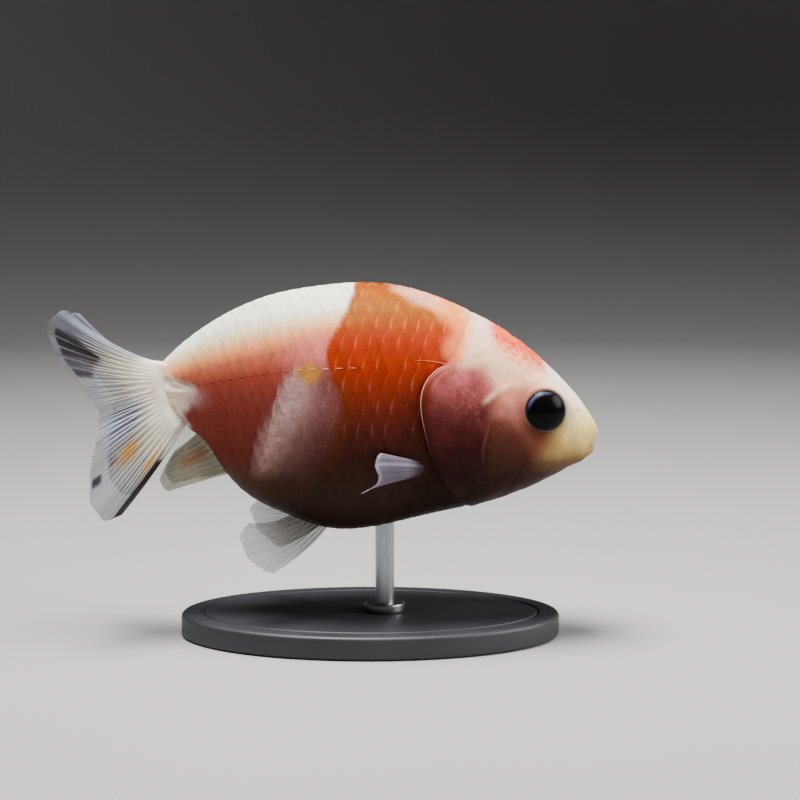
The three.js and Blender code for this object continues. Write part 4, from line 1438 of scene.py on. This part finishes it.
class GOLDFISH_OT_eyes(Operator):
    """Eyeballs and the thin rims round them"""

    bl_idname = "goldfish.make_eyes"
    bl_label = "Eyes"

    RIM = 0.08  # radius of the rim's round section, in millimetres

    def execute(self, context):
        eyes = context.scene.goldfish_eyes
        lid = math.sqrt(eyes.radius ** 2 - eyes.opening ** 2) / MM
        for name, sign in SIDES.items():
            centre, axis = eye_frame(sign)
            turn = Vector(axis).to_track_quat("Z", "Y").to_euler()
            self.ball(eyes, name, lid, centre, axis, turn)
            self.rim(eyes, name, centre + axis * lid, turn)
        return {"FINISHED"}

    def ball(self, eyes, name, lid, centre, axis, turn):
        """An eyeball. Behind the lid it is drawn in, to stay under the skin."""
        nothing_selected()
        bpy.ops.mesh.primitive_uv_sphere_add(segments=96, ring_count=64, radius=eyes.radius,
                                             location=centre * MM, rotation=turn)
        piece = just_made("eye_ball_" + name)
        finish_mesh(piece, ROUND_ANGLE)
        places = np.array([v.co for v in piece.data.vertices]) / MM
        offset = places - centre
        depth = offset @ axis
        away = np.linalg.norm(offset - depth[:, None] * axis, axis=1)
        away = np.where(depth > 0, away, eyes.radius / MM)
        hidden = soft(lid - 0.4, lid - 1.2, depth)
        drawn_in = centre + offset * (1 - 0.1 * hidden)[:, None]
        piece.data.vertices.foreach_set("co", (drawn_in * MM).ravel())
        piece.data.update()
        piece.data.materials.append(eye_material(eyes))
        give(piece, "away", away)
        give(piece, "upper", (offset[:, 2] * 0.8 - offset[:, 0] * 0.5) / 2.3)
        settle(piece, "eye", "eye_" + name)

    def rim(self, eyes, name, middle, turn):
        nothing_selected()
        bpy.ops.mesh.primitive_torus_add(major_segments=96, minor_segments=12,
                                         major_radius=eyes.opening + 0.02 * MM, minor_radius=self.RIM * MM,
                                         location=middle * MM, rotation=turn)
        piece = just_made("eye_rim_" + name)
        finish_mesh(piece, ROUND_ANGLE)
        piece.data.materials.append(lid_material())
        settle(piece, "skin_head")


# ---------- Fins ----------


def fin_grid(rays, across, along, reach):
    """Points of a fin's middle sheet. reach gives how far along its ray each row of points ends."""
    keys = np.array(rays, float)
    part = np.linspace(0, 1, along)[None, :] * reach[:, None]
    weights = Line(np.eye(len(keys)), np.arange(len(keys)))(np.linspace(0, len(keys) - 1, across))
    root, bend, tip = (weights @ keys[:, i] for i in range(3))
    left = 1 - part[..., None]
    part = part[..., None]
    return left ** 2 * root[:, None] + 2 * left * part * bend[:, None] + part ** 2 * tip[:, None]


def sheet_normals(grid):
    normal = np.cross(np.gradient(grid, axis=0), np.gradient(grid, axis=1))
    return normal / np.maximum(np.linalg.norm(normal, axis=-1, keepdims=True), 1e-9)


def ray_pattern(across, along, rays):
    """1 on the branching rays and 0 on the web between them."""
    first = soft(0.25, 0.62, along) * 0.22
    second = soft(0.55, 0.92, along) * 0.11
    offset = np.abs(np.abs(np.abs((across * rays) % 1 - 0.5) - first) - second)
    width = 0.2 - 0.145 * soft(0.1, 0.85, along)
    return 1 - soft(0.4, 1.25, offset / width)


def fin_solid(grid, half):
    """A closed sheet from its middle points and half thickness."""
    normal = sheet_normals(grid)
    top, under = grid + normal * half[..., None], grid - normal * half[..., None]
    across, along = grid.shape[:2]
    points = np.concatenate([top.reshape(-1, 3), under.reshape(-1, 3)])
    i, j = np.meshgrid(np.arange(across - 1), np.arange(along - 1), indexing="ij")
    a = (i * along + j).ravel()
    upper = np.stack([a, a + along, a + along + 1, a + 1], axis=-1)
    lower = upper[:, ::-1] + across * along
    border = [*range(along), *(k * along + along - 1 for k in range(1, across)),
              *((across - 1) * along + j for j in range(along - 2, -1, -1)),
              *(k * along for k in range(across - 2, 0, -1))]
    skirt = []
    for k, here in enumerate(border):
        after = border[(k + 1) % len(border)]
        skirt.append((here, after, after + across * along, here + across * along))
    return points, [*upper.tolist(), *lower.tolist(), *skirt]


class Fin:
    """What one kind of fin is made of: the rays that give its shape, how many rays show, how many points its
    mesh has across and along, the CAD nodes it stands for, the height of its ripples and how many waves they
    make, how far its fleshy root reaches and how thick that is, and how far the left fin's leading edge hangs
    below the right one's."""

    def __init__(self, name, keys, rays, across, along, nodes, ripple, waves, root, flesh, sag=0.0):
        self.name, self.keys, self.rays, self.across, self.along = name, keys, rays, across, along
        self.nodes, self.ripple, self.waves, self.root, self.flesh = nodes, ripple, waves, root, flesh
        self.sag = sag


TAIL_RAY_COUNT = 24
FINS = (
    Fin("tail_fin", TAIL_RAYS, TAIL_RAY_COUNT, 480, 90, ("tail_fin_upper", "tail_fin_lower"), 0.22, 5.0, 0.26,
        0.5, sag=1.3),
    Fin("anal_fin", ANAL_RAYS, 8, 130, 56, ("anal_fin",), 0.12, 2.0, 0.14, 0.25),
    Fin("pelvic_fin", PELVIC_RAYS, 9, 160, 64, ("pelvic_fin",), 0.2, 2.5, 0.16, 0.25),
    Fin("pectoral_fin", PECTORAL_RAYS, 10, 160, 60, ("pectoral_fin",), 0.1, 1.6, 0.7, 0.12),
)


class FinLook:
    """Colours and clearness of the fins at shares a across and l along them. Each fin's method is named after
    it, and gives the web's colour, the rays' colour, and how solid the web and the rays are."""

    def __init__(self, scene):
        self.fins = scene.goldfish_fins
        self.c = Markings(scene.goldfish_colours).c

    def tail_fin(self, a, l):
        fins, c = self.fins, self.c
        flesh = soft(0.36, 0.2, l + 0.02 * np.sin(a * 60) + 0.015 * np.sin(a * 143))
        ray, tip, web = (np.array(tint) for tint in (fins.ray, fins.tip, fins.web))
        web = ramp(l, (0.25, ray * 0.9), (0.5, 0.15 * ray + 0.6 * web), (0.8, 0.62 * web), (1.0, 0.8 * web))
        bone = ramp(l, (0.3, ray * 0.95), (0.5, ray * 0.75), (0.8, tip), (1.0, tuple(fins.web)))
        leading = soft(0.13, 0.06, a)
        fork = bump(a - 0.42, 0.13) * soft(0.3, 0.6, l)
        bright = bump(a - 0.6, 0.1)
        vent = soft(0.8, 0.95, a)
        gap = bright * soft(0.35, 0.5, l) * soft(0.95, 0.7, l)
        clear = 0.33 + 0.27 * soft(0.65, 0.25, l) + 0.2 * leading - 0.06 * fork + 0.25 * gap + 0.2 * vent
        solid = 0.7 - 0.35 * soft(0.45, 0.95, l) + 0.25 * leading - 0.25 * fork + 0.35 * bright + 0.2 * vent
        bone = over(bone, (0.72, 0.77, 0.92), 0.75 * np.maximum(leading, bright * soft(0.3, 0.5, l)))
        web = over(web, (0.09, 0.09, 0.2), 0.85 * gap)
        web = over(web, (0.36, 0.38, 0.5), 0.6 * leading)
        dark, orange = self.tail_patches(a, l)
        web = over(web, tuple(fins.orange), orange)
        bone = over(bone, np.array(fins.orange) * (1, 1.15, 1.4), 0.8 * orange)
        web = over(web, tuple(fins.black), dark)
        bone = over(bone, np.array(fins.black) * 1.4, dark)
        folds = 0.5 + 0.5 * np.sin(a * 74 + 2.5 * np.sin(l * 14))
        rosy = flesh * (0.25 + 0.75 * folds) * (0.35 + 0.65 * bump(a - 0.45, 0.25))
        web = over(over(web, c["white"], flesh), c["lilac"] * (1, 1.3, 1.3), 0.4 * rosy)
        bone = over(over(bone, c["white"], flesh), c["lilac"] * (1, 1.3, 1.3), 0.4 * rosy)
        clear = np.maximum(clear + 0.4 * orange, 0.97 * soft(0.1, 0.7, dark))
        return web, bone, clear + (1 - clear) * flesh, np.maximum(solid, 0.96 * np.maximum(dark, flesh))

    def tail_patches(self, a, l):
        """Black stripes on the rays of the upper lobe, black edges lower down, and golden patches."""
        start = 0.57 + 3.0 * np.maximum(0.19 - a, 0) + 1.5 * np.maximum(a - 0.21, 0)
        inside = soft(0.126, 0.134, a) * soft(0.335, 0.325, a)
        patch = inside * soft(-0.03, 0.05, l - start) * soft(0.95, 0.925, l)
        between = np.abs((a * TAIL_RAY_COUNT + 0.5) % 1 - 0.5)
        depth = 0.78 + 0.3 * bump(a - 0.19, 0.04)
        dark = patch * depth * (1 - 0.85 * soft(0.15, 0.05, between))
        margin = bump(a - 0.752 - 0.1 * (0.97 - l), 0.018) * soft(0.83, 0.9, l) * soft(0.985, 0.965, l)
        lower = soft(0.945, 0.965, a + 0.012 * soft(0.4, 1.0, l)) * soft(0.42, 0.5, l)
        thin = bump(a - 0.965, 0.01) * soft(0.3, 0.45, l) * soft(0.6, 0.55, l) * 0.6
        dark = np.clip(np.maximum(dark, np.maximum(0.9 * margin, np.maximum(lower, thin))), 0, 1)
        orange = bump(a - 0.765, 0.042) * bump(l - 0.58, 0.12)
        orange = np.maximum(orange, 0.9 * bump(a - 0.92, 0.025) * bump(l - 0.5, 0.1))
        return dark, np.clip(1.1 * orange, 0, 1)

    def anal_fin(self, a, l):
        c = self.c
        flesh = soft(0.16, 0.05, l)
        web = np.broadcast_to((0.25, 0.23, 0.14), (*a.shape, 3))
        bone = np.broadcast_to((0.46, 0.42, 0.27), (*a.shape, 3))
        stripe = 0.6 * bump(a - 0.62, 0.14) * soft(0.12, 0.25, l) * soft(0.75, 0.6, l)
        web = over(web, c["yellow"] * 1.2, stripe)
        bone = over(bone, c["yellow"] * 1.6, stripe)
        edge = bump(a - 0.1, 0.07)
        return web, bone, 0.45 + 0.25 * stripe + 0.5 * flesh, 0.62 + 0.35 * edge + 0.3 * flesh

    def pelvic_fin(self, a, l):
        c = self.c
        flesh = soft(0.22, 0.05, l)
        web = ramp(l, (0.1, c["dusk"]), (0.45, (0.07, 0.06, 0.05)), (0.9, (0.1, 0.095, 0.095)))
        bone = ramp(l, (0.1, c["dusk"]), (0.5, (0.24, 0.22, 0.19)), (0.9, (0.34, 0.33, 0.31)))
        edge = soft(0.05, 0.0, a) * soft(0.2, 0.35, l)
        bone = over(bone, (0.75, 0.7, 0.6), edge)
        web = over(web, (0.75, 0.7, 0.6), edge)
        clear = 0.45 - 0.12 * soft(0.4, 1, l) + 0.5 * flesh + 0.4 * edge
        return web, bone, clear, 0.7 - 0.25 * soft(0.5, 1, l) + 0.3 * flesh + 0.4 * edge

    def pectoral_fin(self, a, l):
        flesh = soft(0.5, 0.15, l)
        # The pale line a third of the way across is a painted highlight along the fin's fold.
        edge = soft(0.05, 0.0, a) + soft(0.9, 1.0, l) + bump(a - 0.3, 0.04)
        edge = np.clip(edge + 1.3 * soft(0.93, 1.0, a) * soft(0.3, 0.5, l), 0, 1)
        web = over(np.broadcast_to((0.17, 0.14, 0.19), (*a.shape, 3)), (0.6, 0.54, 0.64), 0.6 * edge)
        bone = over(web, (0.5, 0.44, 0.55), 0.22 * (1 - flesh))
        solid = 0.78 + 0.15 * edge - 0.2 * soft(0.35, 0.6, l) * soft(0.9, 0.7, l)
        return web, bone, solid + 0.2 * soft(0.3, 0.1, l), solid + 0.06


class GOLDFISH_OT_fins(Operator):
    """Paired fins with branching rays and clear webs"""

    bl_idname = "goldfish.make_fins"
    bl_label = "Fins"

    def execute(self, context):
        for fin in FINS:
            self.build(context, fin)
        return {"FINISHED"}

    def build(self, context, fin):
        scene = context.scene
        fins = scene.goldfish_fins
        line = np.linspace(0, 1, fin.across)
        tips = ray_pattern(line, np.ones(fin.across), fin.rays)
        reach = 0.988 + 0.004 * tips + 0.006 * np.sin(line * fin.rays * 2.1) + 0.003 * np.sin(line * 57)
        grid = fin_grid(fin.keys, fin.across, fin.along, reach)
        along = np.broadcast_to(np.linspace(0, 1, fin.along)[None, :], grid.shape[:2])
        across = np.broadcast_to(line[:, None], grid.shape[:2])
        wave = np.sin(across * fin.waves * 2 * np.pi + 4.0 * along)
        wave = wave + 0.5 * np.sin(across * fin.waves * 5.1 * np.pi)
        grid = grid + sheet_normals(grid) * (fin.ripple * wave * soft(0.15, 1.0, along) ** 2 * 0.6)[..., None]
        ray = ray_pattern(across, along, fin.rays)
        sides = soft(0, 0.02, across) * soft(1, 0.98, across)
        edge = sides * soft(1.0, 0.97, along)
        height = fins.ray_height / MM * (1 - 0.8 * soft(0.0, 1.0, along)) * soft(0.6, 1.5, along / fin.root)
        half = 0.5 * fins.thickness / MM * (0.35 + 0.65 * edge) + 0.5 * height * ray * (0.25 + 0.75 * edge)
        thick = soft(0.0, 0.7, along / fin.root) * soft(1.3, 0.5, along / fin.root)
        half = half + fin.flesh * thick * (0.2 + 0.8 * soft(0, 0.08, across) * soft(1, 0.92, across))
        points, faces = fin_solid(grid, half)
        web, bone, clear, solid = getattr(FinLook(scene), fin.name)(across.ravel(), along.ravel())
        coat = Markings(scene.goldfish_colours)(grid.reshape(-1, 3))[0]
        grown = soft(0.75, 0.2, along / fin.root).ravel()
        web, bone = (tint + (coat - tint) * grown[:, None] for tint in (web, bone))
        material = fin_material(fin.name.replace("_", " "), fin.rays, fin.root)
        sag = np.tile((fin.sag * soft(0.4, 0.0, across) * soft(0.0, 0.6, along)).ravel(), 2)
        for name, sign in SIDES.items():
            placed = points * (1, -sign, 1) - (sign > 0) * sag[:, None] * np.array((0, 0, 1))
            piece = add_piece(f"{fin.name}_{name}", placed, turned(faces, sign > 0), material)
            for key, values in (("across", across.ravel()), ("along", along.ravel()), ("web", web),
                                ("bone", bone), ("clear", clear), ("solid", solid)):
                give(piece, key, np.concatenate([values, values]))
            settle(piece, "fin", *(f"{node}_{name}" for node in fin.nodes))


# ---------- Stand ----------


class GOLDFISH_OT_stand(Operator):
    """Oval base, collar and rod"""

    bl_idname = "goldfish.make_stand"
    bl_label = "Stand"

    # The groove's outer wall, floor and inner wall, each with its width and how far it rises, in millimetres
    GROOVE = ((0.18, -0.2), (0.25, 0.0), (0.18, 0.2))
    COLLAR_HEIGHT, COLLAR_BEVEL = 1.3, 0.3  # millimetres
    COLLAR_WIDTH = 2.1                      # in widths of the rod

    def execute(self, context):
        stand = context.scene.goldfish_stand
        self.base(stand)
        self.rod(stand)
        return {"FINISHED"}

    def base(self, stand):
        low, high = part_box("stand_base")
        nothing_selected()
        bpy.ops.mesh.primitive_cylinder_add(vertices=128, radius=0.5, depth=1, location=(low + high) / 2)
        piece = just_made("stand_oval")
        piece.scale = high - low
        set_place()
        self.rounded_edges(piece, stand.bevel, low.z, high.z)
        self.select_flat(piece, high.z)
        bpy.ops.mesh.inset(thickness=stand.groove, depth=0)
        for thickness, rise in self.GROOVE:
            bpy.ops.mesh.inset(thickness=thickness * MM, depth=rise * MM)
        bpy.ops.object.mode_set(mode="OBJECT")
        finish_mesh(piece, FLAT_ANGLE)
        piece.data.materials.append(base_material(stand))
        settle(piece, "stand_base", "stand_base")

    def rod(self, stand):
        low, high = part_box("stand_rod")
        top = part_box("stand_base")[1].z
        radius = (high.x - low.x) / 2
        centre = Vector(((low.x + high.x) / 2, 0, (top + high.z) / 2))
        nothing_selected()
        bpy.ops.mesh.primitive_cylinder_add(vertices=64, radius=radius, depth=high.z - top, location=centre)
        piece = just_made("stand_pillar")
        finish_mesh(piece, FLAT_ANGLE)
        piece.data.materials.append(steel_material(stand))
        settle(piece, "stand_rod", "stand_rod")
        self.collar(stand, radius, centre.x, top)

    def collar(self, stand, radius, x, top):
        nothing_selected()
        depth = self.COLLAR_HEIGHT * MM
        bpy.ops.mesh.primitive_cylinder_add(vertices=64, radius=radius * self.COLLAR_WIDTH, depth=depth,
                                            location=(x, 0, top + depth / 2))
        collar = just_made("stand_collar")
        set_place()
        self.rounded_edges(collar, self.COLLAR_BEVEL * MM, top, top + depth)
        bpy.ops.object.mode_set(mode="OBJECT")
        finish_mesh(collar, FLAT_ANGLE)
        collar.data.materials.append(steel_material(stand))
        settle(collar, "stand_rod")

    def rounded_edges(self, piece, width, low, high):
        """Bevels the edges of both flat ends, and leaves edit mode on."""
        bpy.ops.object.mode_set(mode="EDIT")
        bpy.ops.mesh.select_mode(type="EDGE")
        bpy.ops.mesh.select_all(action="DESELECT")
        mesh = bmesh.from_edit_mesh(piece.data)
        for edge in mesh.edges:
            level = (edge.verts[0].co.z + edge.verts[1].co.z) / 2
            flat = abs(edge.verts[0].co.z - edge.verts[1].co.z) < CLOSE
            edge.select = flat and min(abs(level - low), abs(level - high)) < CLOSE
        bmesh.update_edit_mesh(piece.data)
        bpy.ops.mesh.bevel(offset=width, segments=5, affect="EDGES")

    def select_flat(self, piece, height):
        """Selects the flat face at a height."""
        bpy.ops.mesh.select_mode(type="FACE")
        bpy.ops.mesh.select_all(action="DESELECT")
        mesh = bmesh.from_edit_mesh(piece.data)
        for face in mesh.faces:
            face.select = face.normal.z > 0.999 and abs(face.calc_center_median().z - height) < CLOSE
        bmesh.update_edit_mesh(piece.data)


# ---------- Stage ----------


class GOLDFISH_OT_stage(Operator):
    """Plain floor that curves up all round, soft lights and the camera"""

    bl_idname = "goldfish.make_stage"
    bl_label = "Stage"

    FLAT, CURVE, WALL, STEPS = 0.42, 0.3, 0.5, 14  # metres, and the steps of the curve
    KEY_SIZE, KEY_PLACE = 0.2, (-0.05, -0.02, 0.42)
    FRONT_SIZE, FRONT_PLACE = 0.32, (0.38, -0.04, 0.24)
    LIT_HEIGHT = 0.03                              # the lights aim at this height over the middle of the base
    SPREAD = 110                                   # degrees
    SKY_COLOUR = (0.9, 0.93, 1.0, 1)
    TARGET = (4.09, 0, 32.45)                      # the middle of the camera's view, in millimetres

    def execute(self, context):
        stage = context.scene.goldfish_stage
        self.floor(stage)
        self.lights(context, stage)
        self.camera(context, stage)
        return {"FINISHED"}

    def floor(self, stage):
        nothing_selected()
        bpy.ops.mesh.primitive_circle_add(vertices=128, radius=self.FLAT, fill_type="NGON",
                                          location=(0, 0, 0))
        piece = just_made("stage_floor")
        bpy.ops.object.mode_set(mode="EDIT")
        bpy.ops.mesh.select_mode(type="EDGE")
        bpy.ops.mesh.select_all(action="SELECT")
        radius, height = self.FLAT, 0.0
        angles = np.linspace(0, np.pi / 2, self.STEPS + 1)[1:]
        targets = [(self.FLAT + self.CURVE * math.sin(a), self.CURVE * (1 - math.cos(a))) for a in angles]
        targets.append((targets[-1][0], targets[-1][1] + self.WALL))
        for wide, high in targets:
            bpy.ops.mesh.extrude_edges_move(TRANSFORM_OT_translate={"value": (0, 0, high - height)})
            bpy.ops.transform.resize(value=(wide / radius, wide / radius, 1))
            radius, height = wide, high
        bpy.ops.object.mode_set(mode="OBJECT")
        finish_mesh(piece, ROUND_ANGLE)
        piece.data.flip_normals()
        piece.data.materials.append(floor_material(stage))

    def lights(self, context, stage):
        for name, power, size, place in (
                ("key_light", stage.key_power, self.KEY_SIZE, self.KEY_PLACE),
                ("front_light", stage.front_power, self.FRONT_SIZE, self.FRONT_PLACE)):
            light = bpy.data.lights.new(name, "AREA")
            light.energy, light.size, light.shape = power, size, "DISK"
            light.spread = math.radians(self.SPREAD)
            lamp = bpy.data.objects.new(name, light)
            context.scene.collection.objects.link(lamp)
            lamp.location = place
            aim = Vector((0, 0, self.LIT_HEIGHT)) - Vector(place)
            lamp.rotation_euler = aim.to_track_quat("-Z", "Y").to_euler()
        world = bpy.data.worlds.new("studio")
        context.scene.world = world
        world.use_nodes = True
        background = world.node_tree.nodes["Background"]
        background.inputs["Color"].default_value = self.SKY_COLOUR
        background.inputs["Strength"].default_value = stage.sky

    def camera(self, context, stage):
        data = bpy.data.cameras.new("camera")
        data.lens, data.sensor_width = stage.lens, 36
        data.clip_start, data.clip_end = 0.01, 10
        camera = bpy.data.objects.new("camera", data)
        context.scene.collection.objects.link(camera)
        target = Vector(self.TARGET) * MM
        back = Vector((0, -math.cos(stage.elevation), math.sin(stage.elevation)))
        camera.location = target + back * stage.distance
        camera.rotation_euler = (-back).to_track_quat("-Z", "Y").to_euler()
        context.scene.camera = camera


# ---------- Panel and registration ----------

STEPS = (GOLDFISH_OT_stage, GOLDFISH_OT_skin, GOLDFISH_OT_scales, GOLDFISH_OT_gill_edges,
         GOLDFISH_OT_lateral_line, GOLDFISH_OT_eyes, GOLDFISH_OT_fins, GOLDFISH_OT_stand)
SETTINGS = {
    "goldfish_colours": GoldfishColours,
    "goldfish_skin": GoldfishSkin,
    "goldfish_scales": GoldfishScales,
    "goldfish_eyes": GoldfishEyes,
    "goldfish_fins": GoldfishFins,
    "goldfish_stand": GoldfishStand,
    "goldfish_stage": GoldfishStage,
}


class GOLDFISH_PT_panel(Panel):
    bl_label = "Goldfish"
    bl_idname = "GOLDFISH_PT_panel"
    bl_space_type = "VIEW_3D"
    bl_region_type = "UI"
    bl_category = "Goldfish"

    def draw(self, context):
        for step in STEPS:
            self.layout.operator(step.bl_idname)
        for name, group in SETTINGS.items():
            box = self.layout.box()
            box.label(text=group.__name__)
            for field in group.__annotations__:
                box.prop(getattr(context.scene, name), field)


CLASSES = (*SETTINGS.values(), *STEPS, GOLDFISH_PT_panel)


def register():
    for made in CLASSES:
        bpy.utils.register_class(made)
    for name, group in SETTINGS.items():
        setattr(bpy.types.Scene, name, PointerProperty(type=group))


def unregister():
    for name in SETTINGS:
        delattr(bpy.types.Scene, name)
    for made in reversed(CLASSES):
        bpy.utils.unregister_class(made)


def main():
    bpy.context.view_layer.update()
    register()
    for step in STEPS:
        group, name = step.bl_idname.split(".")
        getattr(getattr(bpy.ops, group), name)()


if __name__ == "__main__":
    main()
